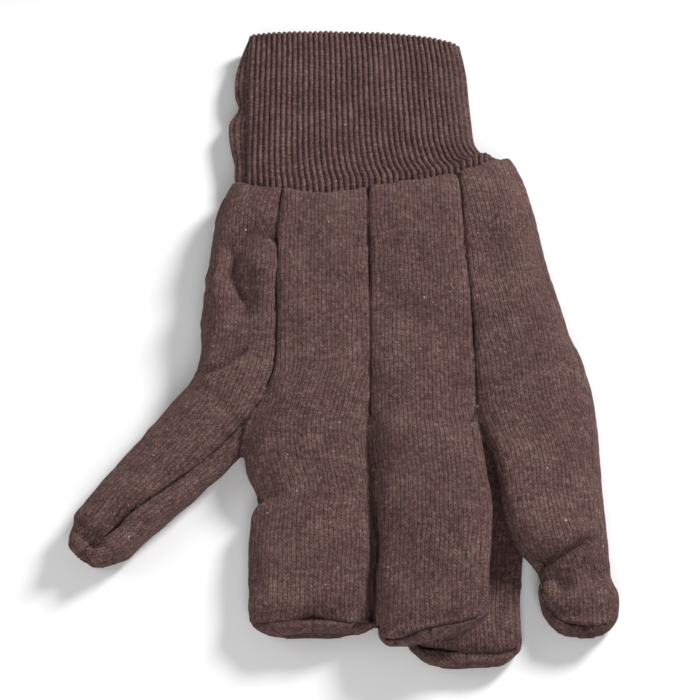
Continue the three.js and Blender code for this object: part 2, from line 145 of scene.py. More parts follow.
THUMB_ROWS = [
    (0.1, 0.0, 0.47, 0.0, 1.24, 0, 0.05),
    (0.19, 0.02, 0.46, 0.0, 1.2, 0, 0.2),
    (0.28, 0.04, 0.45, 0.0, 1.22, 0, 0.44),
    (0.35, 0.06, 0.46, 0.0, 1.2, 0, 0.7),
    (0.43, 0.07, 0.475, 0.0, 1.14, 0, 0.88),
    (0.61, 0.06, 0.44, 0.0, 1.0, 0, 1.0),
    (0.8, 0.04, 0.4, 0.0, 0.94, 0, 0.92),
]
# The end of a digit: back, half, low, high, and its share of the tip's own slant and roundness.
TIP_ROWS = [
    (0.75, 0.99, 0.0, 0.97, 0.3),
    (0.42, 0.97, 0.02, 0.78, 0.6),
    (0.22, 0.95, 0.04, 0.84, 0.8),
    (0.0, 0.84, 0.16, 0.6, 1.0),
]


def eased(at, values, want):
    """A smooth curve through a table's rows that never swings past them."""
    at = np.asarray(at, float)
    values = np.asarray(values, float)
    step = np.diff(at)[:, None]
    slope = np.diff(values, axis=0) / step
    tangent = np.zeros_like(values)
    tangent[0] = slope[0]
    tangent[-1] = slope[-1]
    same = slope[:-1] * slope[1:] > 0
    with np.errstate(divide="ignore", invalid="ignore"):
        mean = 2 * slope[:-1] * slope[1:] / (slope[:-1] + slope[1:])
    tangent[1:-1] = np.where(same, mean, 0)
    here = np.clip(np.searchsorted(at, want, side="right") - 1, 0, len(at) - 2)
    t = ((want - at[here]) / step[here, 0])[:, None]
    t = np.clip(t, 0, 1)
    wide = step[here]
    return (
        values[here] * (2 * t**3 - 3 * t**2 + 1)
        + tangent[here] * wide * (t**3 - 2 * t**2 + t)
        + values[here + 1] * (3 * t**2 - 2 * t**3)
        + tangent[here + 1] * wide * (t**3 - t**2)
    )


# Columns of a section.
CX, CY, TURN, HALF, LOW, HIGH, TILT, SLANT, BOW, SIDE_0, SIDE_1, ABOUT = range(12)


def palm_sections(left_seam, right_seam, rows=PALM_ROWS):
    """Sections of the hand between two of its seams, from the cuff seam down."""
    made = []
    for row in rows:
        along, left, a, c, right, _, high, slant, bow = row
        side_left = PALM_LEFT + left * THUMB_STRIP
        side_right = PALM_RIGHT + right * LITTLE_STRIP
        lines = {
            "thumb": side_left + SEAM_WRAP,
            "a": SEAM_A + a * INDEX_STRIP,
            "b": SEAM_B,
            "c": SEAM_C + c * MIDDLE_STRIP,
            "little": side_right - SEAM_WRAP,
        }
        from_x = lines[left_seam] - SEAM_WRAP
        to_x = lines[right_seam] + SEAM_WRAP
        made.append([
            (from_x + to_x) / 2, MOUTH_Y - along * PALM_LENGTH, 0, (to_x - from_x) / 2,
            0, high * BODY_THICKNESS, 0, slant, bow * PALM_LENGTH, side_left, side_right, 0,
        ])
    return made


def digit_sections(rows, x, y, length, width, thickness, turn=0.0, pinch=0.0, slant=0.0, bow=0.0):
    """Sections of a digit, along a centre line that turns with its rows."""
    last = rows[-1]
    depth = last[4] - last[3]
    tips = []
    for back, half, low, high, end in TIP_ROWS:
        tips.append((
            1 - back * TIP_LENGTH / length, last[1], last[2] * half * (1 - pinch * (1 - back)),
            last[3] + depth * low, last[3] + depth * high, last[5], last[6], end,
        ))
    made = []
    from_along = 0.0
    from_turn = 0.0
    for along, shift, half, low, high, tilt, share, end in [*((*row, 0.0) for row in rows), *tips]:
        heading = math.radians(turn * (share + from_turn) / 2)
        step = (along - from_along) * length
        x -= math.sin(heading) * step
        y -= math.cos(heading) * step
        from_along = along
        from_turn = share
        angle = math.radians(turn * share)
        middle_x = x + shift * width * math.cos(angle)
        made.append([
            middle_x, y - shift * width * math.sin(angle), angle, half * width, low * thickness,
            high * thickness, math.radians(tilt), slant * end, bow * end,
            middle_x - half * width, middle_x + half * width, middle_x,
        ])
    return made


# Distance between the dense sections of a form, how far it runs on past its mouth, how far beyond
# its ends a point is still followed, and how much a point's distance aside counts against a section.
SECTION_STEP = 1.2
RUN_ON = 8.0
PAST_ENDS = 3.0
ASIDE_COST = 0.05


class Form:
    """A flattened tube of jersey: dense sections, and where a point lies on them."""

    def __init__(self, name, sections):
        sections = np.array(sections, float)
        sections = np.vstack([sections[0], sections])
        sections[0, CY] += RUN_ON
        reach = np.concatenate([[0], np.cumsum(np.hypot(*np.diff(sections[:, :2], axis=0).T))])
        reach -= reach[1]
        self.name = name
        self.length = reach[-1]
        count = int((reach[-1] - reach[0]) / SECTION_STEP) + 1
        self.at = np.linspace(reach[0], reach[-1], count)
        self.rows = eased(reach, sections, self.at)
        turn = self.rows[1:, TURN]
        aside = np.diff(self.rows[:, CX]) * np.cos(turn) - np.diff(self.rows[:, CY]) * np.sin(turn)
        self.base = self.rows[0, CX] + np.concatenate([[0], np.cumsum(aside)])
        self.tip_seam = self.length - TIP_SEAM_BACK * TIP_LENGTH

    def place(self, rows, side, height):
        """Puts an offset across and a height of some rows into the drawing."""
        core = (rows[:, LOW] + rows[:, HIGH]) / 2
        lean = rows[:, TILT]
        across = side * np.cos(lean) - (height - core) * np.sin(lean)
        z = core + side * np.sin(lean) + (height - core) * np.cos(lean)
        along = self.curve(rows, across)
        turn = rows[:, TURN]
        return np.stack([
            rows[:, CX] + across * np.cos(turn) + along * np.sin(turn),
            rows[:, CY] - across * np.sin(turn) + along * np.cos(turn),
            z,
        ], axis=-1)

    def curve(self, rows, across):
        """How far along the form a section lies at an offset across, by its slant and its bow."""
        x = rows[:, CX] + across
        edge = (2 * x - rows[:, SIDE_0] - rows[:, SIDE_1]) / (rows[:, SIDE_1] - rows[:, SIDE_0])
        return rows[:, SLANT] * (x - rows[:, ABOUT]) + rows[:, BOW] * np.clip(edge, -1, 1) ** 4

    def tube(self):
        """Rings of points, over the back from the left side and under the palm."""
        rings = []
        half, low, high = self.rows[:, [HALF, LOW, HIGH]].T
        middle = low + (high - low) * WIDEST_LEVEL
        for part, tall, count, squareness in (
            (1, high - middle, BACK_POINTS, BACK_SQUARENESS),
            (-1, middle - low, PALM_POINTS, PALM_SQUARENESS),
        ):
            for i in range(count):
                angle = math.pi * i / count
                across = abs(math.cos(angle)) ** (2 / squareness)
                across = -part * math.copysign(across, math.cos(angle))
                rise = math.sin(angle) ** (2 / squareness)
                rings.append(self.place(self.rows, across * half, middle + part * rise * tall))
        return np.stack(rings, axis=1)

    def find(self, points):
        """Position along the tube, side offset, height and row of each point."""
        best = np.full(len(points), np.inf)
        v = np.zeros(len(points))
        for at, row in zip(self.at, self.rows):
            rx = points[:, 0] - row[CX]
            ry = points[:, 1] - row[CY]
            across = rx * math.cos(row[TURN]) - ry * math.sin(row[TURN])
            along = rx * math.sin(row[TURN]) + ry * math.cos(row[TURN])
            rows = np.broadcast_to(row, (len(points), len(row)))
            off = along - self.curve(rows, across)
            cost = np.abs(off) + ASIDE_COST * np.hypot(rx, ry)
            nearer = cost < best
            best = np.where(nearer, cost, best)
            v = np.where(nearer, at - off, v)
        v = np.clip(v, self.at[0] - PAST_ENDS, self.at[-1] + PAST_ENDS)
        columns = self.rows.T
        rows = np.stack([np.interp(v, self.at, column) for column in columns], axis=1)
        rx = points[:, 0] - rows[:, CX]
        ry = points[:, 1] - rows[:, CY]
        across = rx * np.cos(rows[:, TURN]) - ry * np.sin(rows[:, TURN])
        core = (rows[:, LOW] + rows[:, HIGH]) / 2
        lean = rows[:, TILT]
        side = across * np.cos(lean) + (points[:, 2] - core) * np.sin(lean)
        height = core - across * np.sin(lean) + (points[:, 2] - core) * np.cos(lean)
        return v, side, height, rows


# Length of cloth round a quarter of a section, from its crown to each share of the way round, for
# sections from flat to tall.
QUARTER_STEPS = 60
FLATNESS = np.linspace(0.1, 1.2, 12)


def quarter_lengths(squareness):
    angle = np.linspace(math.pi / 2, 0, QUARTER_STEPS + 1)
    across = np.cos(angle) ** (2 / squareness)
    up = np.sin(angle) ** (2 / squareness)
    table = []
    for flat in FLATNESS:
        length = np.hypot(np.diff(across), flat * np.diff(up))
        table.append(np.concatenate([[0], np.cumsum(length)]))
    return np.array(table)


BACK_LENGTHS = quarter_lengths(BACK_SQUARENESS)
PALM_LENGTHS = quarter_lengths(PALM_SQUARENESS)


def cloth_length(table, squareness, half, tall, across, up):
    """Length of cloth from the crown of a section out to a point on it, in millimetres."""
    up = np.clip(up, 0, None)
    angle = np.arctan2((up / tall) ** (squareness / 2), (across / half) ** (squareness / 2))
    place = (1 - angle / (math.pi / 2)) * QUARTER_STEPS
    flat = np.clip((tall / half - FLATNESS[0]) / (FLATNESS[1] - FLATNESS[0]), 0, len(FLATNESS) - 1.001)
    low = flat.astype(int)
    left = np.clip(place, 0, QUARTER_STEPS - 0.001).astype(int)
    t = flat - low
    s = np.clip(place, 0, QUARTER_STEPS) - left
    near = table[low, left] * (1 - s) + table[low, left + 1] * s
    far = table[low + 1, left] * (1 - s) + table[low + 1, left + 1] * s
    return (near * (1 - t) + far * t) * half


# How far in from each side a form's seams lie, in millimetres, down the form's length: its thumb
# side, then its other side.
SEAM_INSETS = {
    "thumb": (
        ((0, 0.3), (160, 0.3)),
        (
            (60, SEAM_WRAP), (72, 0.5), (90, 0.7), (99, 3.8),
            (113, 4.6), (138, 7.8), (148, 9.5), (158, 10.0),
        ),
    ),
    "index": (((60, SEAM_WRAP), (74, 0.4)), ((98, SEAM_WRAP), (108, 0.8))),
    "middle": (((100, SEAM_WRAP), (110, 0.7)), ((100, SEAM_WRAP), (116, 3.0))),
    "little": (((96, SEAM_WRAP), (108, 0.6)), ((100, SEAM_WRAP), (116, 4.6))),
    "ring": (((0, 2.5), (80, 2.5)), ((0, 2.5), (80, 2.5))),
}
# The most that a seam lies in, as a share of half the width.
MOST_INSET = 0.8


def seam_inset(form, v, side, half):
    left, right = (np.interp(v, *np.array(table, float).T) for table in SEAM_INSETS[form.name])
    return np.minimum(np.where(side < 0, left, right), MOST_INSET * half)


# Where each form leaves the hand, down its length.
HAND_ENDS = {"thumb": 62.0, "index": 98.0, "middle": 102.0, "little": 104.0, "ring": 0.0}
# How far a tip's seam wanders towards the tip, in millimetres, from the thumb side to the other.
TIP_WAVES = {
    "thumb": (0.0, 0.0, 0.0, 0.0, 0.0),
    "index": (3.2, 1.8, -0.2, 1.4, 4.2),
    "middle": (4.4, 3.6, 2.0, 1.6, 2.0),
    "little": (-1.6, 2.6, 4.0, 3.4, 0.8),
    "ring": (-1.6, -1.0, 0.0, 0.2, 0.6),
}


def lie(form, points):
    """How points lie on a form: how far out, seam distance, and cloth position across and along."""
    v, side, height, rows = form.find(points)
    half = rows[:, HALF]
    middle = rows[:, LOW] + (rows[:, HIGH] - rows[:, LOW]) * WIDEST_LEVEL
    above = height >= middle
    tall = np.where(above, rows[:, HIGH] - middle, middle - rows[:, LOW])
    squareness = np.where(above, BACK_SQUARENESS, PALM_SQUARENESS)
    across = np.abs(side)
    up = np.abs(height - middle)
    grown = ((across / half) ** squareness + (up / tall) ** squareness) ** (1 / squareness)
    out = (1 - 1 / np.maximum(grown, 1e-3)) * np.hypot(across, up)
    rise = rows[:, HIGH] - middle
    drop = middle - rows[:, LOW]
    back = cloth_length(BACK_LENGTHS, BACK_SQUARENESS, half, rise, across, up)
    palm = cloth_length(PALM_LENGTHS, PALM_SQUARENESS, half, drop, across, up)
    seam_share = 1 - seam_inset(form, v, side, half) / half
    seam_up = rise * (1 - seam_share**BACK_SQUARENESS) ** (1 / BACK_SQUARENESS)
    seam = cloth_length(BACK_LENGTHS, BACK_SQUARENESS, half, rise, seam_share * half, seam_up)
    none = np.zeros_like(half)
    back_edge = cloth_length(BACK_LENGTHS, BACK_SQUARENESS, half, rise, half, none)
    palm_edge = cloth_length(PALM_LENGTHS, PALM_SQUARENESS, half, drop, half, none)
    inside = np.where(above, seam - back, seam - back_edge - up)
    round_palm = np.where(above, palm_edge + back_edge - back, palm)
    past_tip = np.clip(v - form.length, 0, None)
    out = np.where(v > form.length, np.maximum(out, past_tip), out)
    wave = np.interp(side / half, np.linspace(-1, 1, 5), TIP_WAVES[form.name])
    return {
        "out": out,
        "above": above,
        "side_seam": inside,
        "tip_seam": form.tip_seam + wave - v,
        "back_across": np.sign(side) * back,
        "palm_across": np.sign(side) * round_palm + np.interp(v, form.at, form.base),
        "along": v,
        "side": side,
        "level": (height - rows[:, LOW]) / (rows[:, HIGH] - rows[:, LOW]),
    }


THUMB_CROTCH_Y = MOUTH_Y - PALM_ROWS[ROWS_TO_THUMB - 1][0] * PALM_LENGTH
thumb = digit_sections(
    THUMB_ROWS, PALM_LEFT + THUMB_STRIP * 0.57, THUMB_CROTCH_Y, THUMB_LENGTH, THUMB_WIDTH,
    DIGIT_THICKNESS, turn=THUMB_TURN, pinch=0.25, slant=0.08, bow=6.5,
)
index = digit_sections(
    INDEX_ROWS, SEAM_B - INDEX_WIDTH * 0.514, CROTCH_Y, INDEX_LENGTH, INDEX_WIDTH,
    DIGIT_THICKNESS, bow=3.0,
)
middle = digit_sections(
    MIDDLE_ROWS, SEAM_B + MIDDLE_WIDTH * 0.51, CROTCH_Y, MIDDLE_LENGTH, MIDDLE_WIDTH,
    DIGIT_THICKNESS, slant=0.16, bow=3.0,
)
ring = digit_sections(
    RING_ROWS, SEAM_C - RING_WIDTH * 0.13, CROTCH_Y, RING_LENGTH, RING_WIDTH,
    RING_THICKNESS, bow=5.5,
)
little = digit_sections(
    LITTLE_ROWS, SEAM_C + LITTLE_WIDTH * 0.594, CROTCH_Y, LITTLE_LENGTH, LITTLE_WIDTH,
    DIGIT_THICKNESS, slant=-0.06, bow=6.0,
)

FORMS = {
    "thumb": Form("thumb", palm_sections("thumb", "a", PALM_ROWS[:ROWS_TO_THUMB]) + thumb),
    "index": Form("index", palm_sections("a", "b") + index),
    "middle": Form("middle", palm_sections("b", "c") + middle),
    "little": Form("little", palm_sections("c", "little") + little),
    "ring": Form("ring", ring),
}


# The height of the slab, as a share of the hand's.
SLAB_SHARE = 0.72


def slab_sections():
    """The flat middle of the palm, which runs under all the strips."""
    made = []
    for row, section in zip(PALM_ROWS, palm_sections("thumb", "little")):
        inset = row[5]
        left = section[CX] - section[HALF] + inset * THUMB_STRIP
        right = section[CX] + section[HALF] - (SEAM_WRAP if inset else 0)
        section[CX] = (left + right) / 2
        section[HALF] = (right - left) / 2
        section[HIGH] *= SLAB_SHARE
        made.append(section)
    end = list(made[-1])
    right = end[CX] + end[HALF]
    end[CY] = CROTCH_Y
    end[CX] = (SEAM_A + right) / 2
    end[HALF] = (right - SEAM_A) / 2
    end[LOW] = JERSEY_WALL
    end[HIGH] *= SLAB_SHARE
    made.append(end)
    return made


slab = Form("slab", slab_sections())


def new_object(name, vertices, faces):
    mesh = bpy.data.meshes.new(name)
    mesh.from_pydata([tuple(v) for v in vertices], [], faces)
    mesh.update()
    made = bpy.data.objects.new(name, mesh)
    bpy.context.scene.collection.objects.link(made)
    return made


def apply_all(made):
    bpy.ops.object.select_all(action="DESELECT")
    made.select_set(True)
    bpy.context.view_layer.objects.active = made
    for modifier in list(made.modifiers):
        bpy.ops.object.modifier_apply(modifier=modifier.name)


def add_measures(made, **measures):
    """Stores numbers at an object's points, for its material to read."""
    for key, values in measures.items():
        layer = made.data.attributes.new(key, "FLOAT", "POINT")
        layer.data.foreach_set("value", np.array(values, dtype=np.float32))


def faces_between(rows, count):
    """Faces from each ring of points to the next."""
    faces = []
    for r in range(rows - 1):
        for i in range(count):
            here = r * count + i
            beside = r * count + (i + 1) % count
            faces.append((here, beside, beside + count, here + count))
    return faces


def closed_tube(rings):
    """Vertices and faces of a tube through rings of points, closed at both ends."""
    rows, count = rings.shape[:2]
    vertices = list(rings.reshape(-1, 3))
    faces = faces_between(rows, count)
    faces.append(tuple(range(count))[::-1])
    faces.append(tuple((rows - 1) * count + i for i in range(count)))
    return vertices, faces


VOXEL = 1.0


def skin_of(name, forms):
    """One skin round several forms, as points and quads in millimetres."""
    vertices = []
    faces = []
    for form in forms:
        more, sides = closed_tube(form.tube())
        start = len(vertices)
        vertices.extend(more)
        faces.extend(tuple(start + i for i in side) for side in sides)
    made = new_object(name, np.array(vertices) * MM, faces)
    remesh = made.modifiers.new("skin", "REMESH")
    remesh.mode = "VOXEL"
    remesh.voxel_size = VOXEL * MM
    apply_all(made)
    points = np.empty(len(made.data.vertices) * 3)
    made.data.vertices.foreach_get("co", points)
    quads = [tuple(side.vertices) for side in made.data.polygons]
    bpy.data.objects.remove(made)
    return points.reshape(-1, 3) / MM, quads


def rim_of(side):
    """The edges round a face, each from its lower to its higher point."""
    return [(min(pair), max(pair)) for pair in zip(side, (*side[1:], side[0]))]


def edges_of(quads):
    return np.array(sorted({pair for side in quads for pair in rim_of(side)}))


def corners_of(quads):
    """Four corners of each face, with a triangle's last one twice."""
    return np.array([side if len(side) == 4 else (*side, side[-1]) for side in quads])


def neighbours_total(points, edges):
    total = np.zeros_like(points)
    np.add.at(total, edges[:, 0], points[edges[:, 1]])
    np.add.at(total, edges[:, 1], points[edges[:, 0]])
    return total


def relaxed(points, edges, rounds, strength=0.5):
    """Eases every point towards its neighbours."""
    count = np.bincount(edges.ravel(), minlength=len(points))[:, None]
    for _ in range(rounds):
        total = neighbours_total(points, edges)
        points = points + strength * (total / np.maximum(count, 1) - points)
    return points


def normals_of(points, quads):
    four = corners_of(quads)
    corner = points[four]
    face = np.cross(corner[:, 2] - corner[:, 0], corner[:, 3] - corner[:, 1])
    total = np.zeros_like(points)
    for k in range(4):
        np.add.at(total, four[:, k], face)
    return total / np.maximum(np.linalg.norm(total, axis=1, keepdims=True), 1e-12)


def bell(distance, width):
    """1 at no distance, and fading to 0 over about twice the width."""
    return np.exp(-((distance / width) ** 2))


def lumps(points, size, seed):
    """Soft noise from about -1 to 1 with bumps of the given size in millimetres."""
    moved = points / size + np.array([seed * 17.3, seed * 5.1, seed * 9.7])
    return np.array([noise.noise(Vector(p)) for p in moved]) * 1.6


def line_distance(points, path):
    """Distance in plan from a path of points, and how far along it the nearest place is, 0 to 1."""
    path = np.array(path, float)
    best = np.full(len(points), np.inf)
    along = np.zeros(len(points))
    legs = np.linalg.norm(np.diff(path, axis=0), axis=1)
    done = 0.0
    for start, end, leg in zip(path, path[1:], legs):
        way = end - start
        t = np.clip(((points[:, :2] - start) @ way) / leg**2, 0, 1)
        away = np.linalg.norm(points[:, :2] - start - t[:, None] * way, axis=1)
        nearer = away < best
        best = np.where(nearer, away, best)
        along = np.where(nearer, (done + t * leg) / legs.sum(), along)
        done += leg
    return best, along


# Creases and folds on the back, in plan: their path, width and depth. A fold with a negative depth
# stands up.
CREASES = {
    "thumb": [
        (
            [(-33.5, -33), (-40.7, -38.4), (-53.4, -47.7), (-59.9, -53.7), (-72.8, -64.9), (-80, -69)],
            2.8, 2.2,
        ),
        ([(-46, -34), (-58, -43), (-70, -55), (-80, -63)], 4.0, -0.7),
        ([(-44, -34), (-52, -40), (-58, -46)], 2.2, 0.9),
        ([(-77, -67.5), (-82, -71), (-88, -75.5)], 2.2, 3.2),
        ([(-88, -75.5), (-90.5, -71), (-92, -67)], 1.5, 1.9),
        ([(-87, -74.5), (-89, -80.5), (-90.5, -87)], 1.5, 2.8),
        ([(-91.5, -72), (-93.5, -80)], 2.6, -1.1),
        ([(-83, -77), (-85.5, -85)], 3.4, -1.2),
        ([(-54, -13), (-45.5, -10), (-39, -4.5), (-36, -1)], 1.6, 2.8),
        ([(-53, -17.5), (-44.5, -14.5), (-37, -9)], 3.0, -2.0),
        ([(-48, -24), (-42, -29), (-37, -34)], 2.4, 1.2),
        ([(-52, 33), (-52.5, 28), (-51, 20)], 1.2, 1.3),
        ([(-49.5, 34), (-49.8, 27), (-49, 18)], 1.6, -1.0),
        ([(-26, 48.5), (-33, 45.5), (-38, 43), (-43, 39), (-49, 36)], 4.4, 4.8),
        ([(-47, 36), (-44, 29.5), (-40.5, 23), (-38, 16), (-38.5, 8)], 4.6, 5.0),
        ([(-35, 37), (-31.5, 27)], 4.2, -1.8),
        ([(-46, 38.5), (-43, 33.5)], 2.2, 1.7),
        ([(-40.5, 25), (-38.5, 19)], 2.4, 1.7),
    ],
    "index": [
        ([(-36, -57.5), (-31, -58.5), (-24, -57)], 1.8, 1.4),
        ([(-22, 44), (-12, 30), (2, 22)], 6.0, 0.9),
        ([(-20, -2), (-8, -14), (4, -20)], 7.0, -0.9),
    ],
    "middle": [
        ([(12, 18), (24, 8), (40, 4)], 6.0, 0.8),
        ([(12, -30), (24, -40), (42, -44)], 7.0, -0.8),
    ],
    "little": [
        ([(60, -84.5), (66, -83.2), (71, -81.4), (76, -78.3), (82.5, -74.8)], 1.15, 3.8),
        ([(63, -79), (71, -76.5), (79, -71)], 3.2, -1.5),
        ([(70.5, -86), (69, -93)], 3.2, 3.0),
        ([(64.5, -88), (64, -95)], 2.4, -1.2),
        ([(50, 50), (54, 36), (52, 22)], 5.0, 1.4),
        ([(60, -2), (72, -10), (82, -12)], 6.0, 0.9),
    ],
    "ring": [
        ([(48, -52), (48, -75), (47.0, -101)], 7.0, 1.4),
    ],
}

# The gap between the index and the middle finger: where it starts and is full, its width and
# depth, and how low it may reach.
GAP_STARTS = -34.0
GAP_FULL = -60.0
GAP_WIDTH = 1.7
GAP_DEPTH = 8.5
GAP_FLOOR = 3.2

# A strip's field is the distance in from its seams, in millimetres: above 0 on the strip, and
# NO_STRIP far from every strip. SEAM_BAND is how far from a seam it holds, and MOST_OUT how far off
# its form a point of a strip may lie.
SEAM_BAND = 4.0
NO_STRIP = -9.0
MOST_OUT = 2.0
# The side on which a form is the edge of the hand.
OUTER_SIDES = {"thumb": -1, "index": 0, "middle": 0, "little": 1, "ring": 0}
# Where the seams between strips end, and over what length they become the digits' own.
HAND_SEAMS_END = -28.0
SEAMS_FADE = 8.0
CROWN_FADE = 22.0
DIGIT_FADE = 20.0


def marked_skin(name, names):
    """The skin of some forms, with which form each point belongs to and how it lies there."""
    forms = [FORMS[key] for key in names]
    points, quads = skin_of(name, [*forms, slab] if len(names) > 1 else forms)
    edges = edges_of(quads)
    points = relaxed(points, edges, 2)
    lies = {key: lie(FORMS[key], points) for key in names}
    outs = np.stack([lies[key]["out"] for key in names], axis=1)
    field = np.full(len(points), NO_STRIP)
    owner = np.argmin(outs, axis=1)
    on_hand = np.clip((points[:, 1] - HAND_SEAMS_END) / SEAMS_FADE + 0.5, 0, 1)
    for k, key in enumerate(names):
        here = lies[key]
        mine = np.minimum(here["side_seam"], here["tip_seam"])
        if len(names) > 1:
            nearest = np.delete(outs, k, axis=1).min(axis=1)
            shared = np.clip(0.7 * (nearest - outs[:, k]), -SEAM_BAND, -NO_STRIP)
            inner = (np.sign(here["side"]) != OUTER_SIDES[key]) * on_hand
            mine = shared * inner + mine * (1 - inner)
        mine = np.where((here["out"] < MOST_OUT) & here["above"], mine, NO_STRIP)
        if key == "thumb":
            mine = np.where(field > 0, NO_STRIP, mine)
        take = mine > np.maximum(field, NO_STRIP + 0.1)
        field = np.where(take, mine, field)
        owner = np.where(take & (mine > -SEAM_BAND), k, owner)
    picked = {}
    for column in ("side_seam", "tip_seam", "back_across", "palm_across", "along", "side", "level"):
        picked[column] = np.choose(owner, [lies[key][column] for key in names])
    picked["owner"] = owner
    picked["field"] = field
    if "index" in names:
        picked["gap"] = outs[:, names.index("index")] - outs[:, names.index("middle")]
    return points, quads, edges, picked, names


# How far a point may slide onto a seam, and the most and least rise of the field that is trusted.
SEAM_REACH = 0.6
MOST_RISE = 2.5
LEAST_STEEP = 0.3


def drawn_to_seams(points, edges, field):
    """Slides the points beside a seam onto its line, so that the panels are cut clean."""
    one, other = edges.T
    step = points[other] - points[one]
    rise = field[other] - field[one]
    sound = (np.abs(field[one]) < SEAM_BAND) & (np.abs(field[other]) < SEAM_BAND)
    sound &= np.abs(rise) < MOST_RISE
    pull = step * (rise / np.maximum((step**2).sum(axis=1), 1e-9))[:, None] * sound[:, None]
    slope = np.zeros_like(points)
    np.add.at(slope, one, pull)
    np.add.at(slope, other, pull)
    count = np.bincount(one, sound, len(points)) + np.bincount(other, sound, len(points))
    slope = slope * 2 / np.maximum(count, 1)[:, None]
    steep = np.maximum((slope**2).sum(axis=1), LEAST_STEEP)
    move = -slope * (field / steep)[:, None]
    near = (np.abs(field) < SEAM_REACH) & (count > 2)
    far = np.linalg.norm(move, axis=1)
    move *= np.minimum(1, SEAM_REACH / np.maximum(far, 1e-9))[:, None]
    return points + move * near[:, None]


# Neighbouring strips have opposite signs, so that a distance from their seam can change sign there.
SIGNS = {"thumb": 1, "index": -1, "middle": 1, "little": -1, "ring": 1}
# How deep a form's seams are pressed in, of the full depth: on the hand and then on the digit, for
# its thumb side and its other side, and over its tip.
SEAM_SHARES = {
    "thumb": ((0.2, 1.0), (0.2, 0.8), 0.1),
    "index": ((1.0, 1.0), (0.15, 0.25), 1.0),
    "middle": ((1.0, 1.0), (0.25, 0.25), 1.0),
    "little": ((1.0, 0.2), (0.1, 0.3), 0.9),
    "ring": ((0.25, 0.25), (0.25, 0.25), 1.0),
}


def seam_share(points, spot, names):
    """How strongly the seam nearest each point is drawn in, 0 to 1."""
    share = np.zeros(len(points))
    for k, key in enumerate(names):
        on_hand, on_digit, tip = SEAM_SHARES[key]
        t = np.clip((spot["along"] - HAND_ENDS[key]) / DIGIT_FADE + 0.5, 0, 1)
        left = on_hand[0] + (on_digit[0] - on_hand[0]) * t
        right = on_hand[1] + (on_digit[1] - on_hand[1]) * t
        mine = np.where(spot["side"] < 0, left, right)
        mine = np.where(spot["tip_seam"] < spot["side_seam"], tip, mine)
        share = np.where(spot["owner"] == k, mine, share)
    return np.clip(share * (0.92 + 0.3 * lumps(points, 11.0, 6)), 0, 1)


def between_strips(points, spot, names):
    """1 where the nearest seam joins two strips of the hand, fading to 0 at the digits."""
    outer = np.array([OUTER_SIDES[key] for key in names])[spot["owner"]]
    t = np.clip((points[:, 1] - HAND_SEAMS_END) / CROWN_FADE, 0, 1)
    return (np.sign(spot["side"]) != outer) * t * t * (3 - 2 * t)


# What is pressed into the skins, in millimetres: the seams' grooves, the strips' crowns beside
# them, the puckers along them, the lip past a tip's seam, and the gathers and tuck at the cuff.
SEAM_DEPTH = 1.3
SEAM_WIDTH = 1.0
CROWN_HEIGHT = 2.2
CROWN_WIDTH = 5.0
PUCKER_HEIGHT = 0.34
PUCKER_REACH = 4.5
PUCKER_SIZE = 3.6
LIP_HEIGHT = 0.45
LIP_AT = 3.2
LIP_WIDTH = 2.0
GATHER_HEIGHT = 0.8
GATHER_REACH = 9.0
GATHER_SIZE = 3.4
TUCK_DEPTH = 1.5
TUCK_WIDTH = 2.2
# Height and size of the cloth's own unevenness, from broad to fine.
BROAD_HEIGHT = 0.9
BROAD_SIZE = 26.0
MEDIUM_HEIGHT = 0.4
MEDIUM_SIZE = 9.0
FINE_HEIGHT = 0.1
FINE_SIZE = 2.6
# Lowest height of a skin above the table, and how much more of it its underside keeps.
TABLE_GAP = 0.05
UNDERSIDE_GAP = 0.1


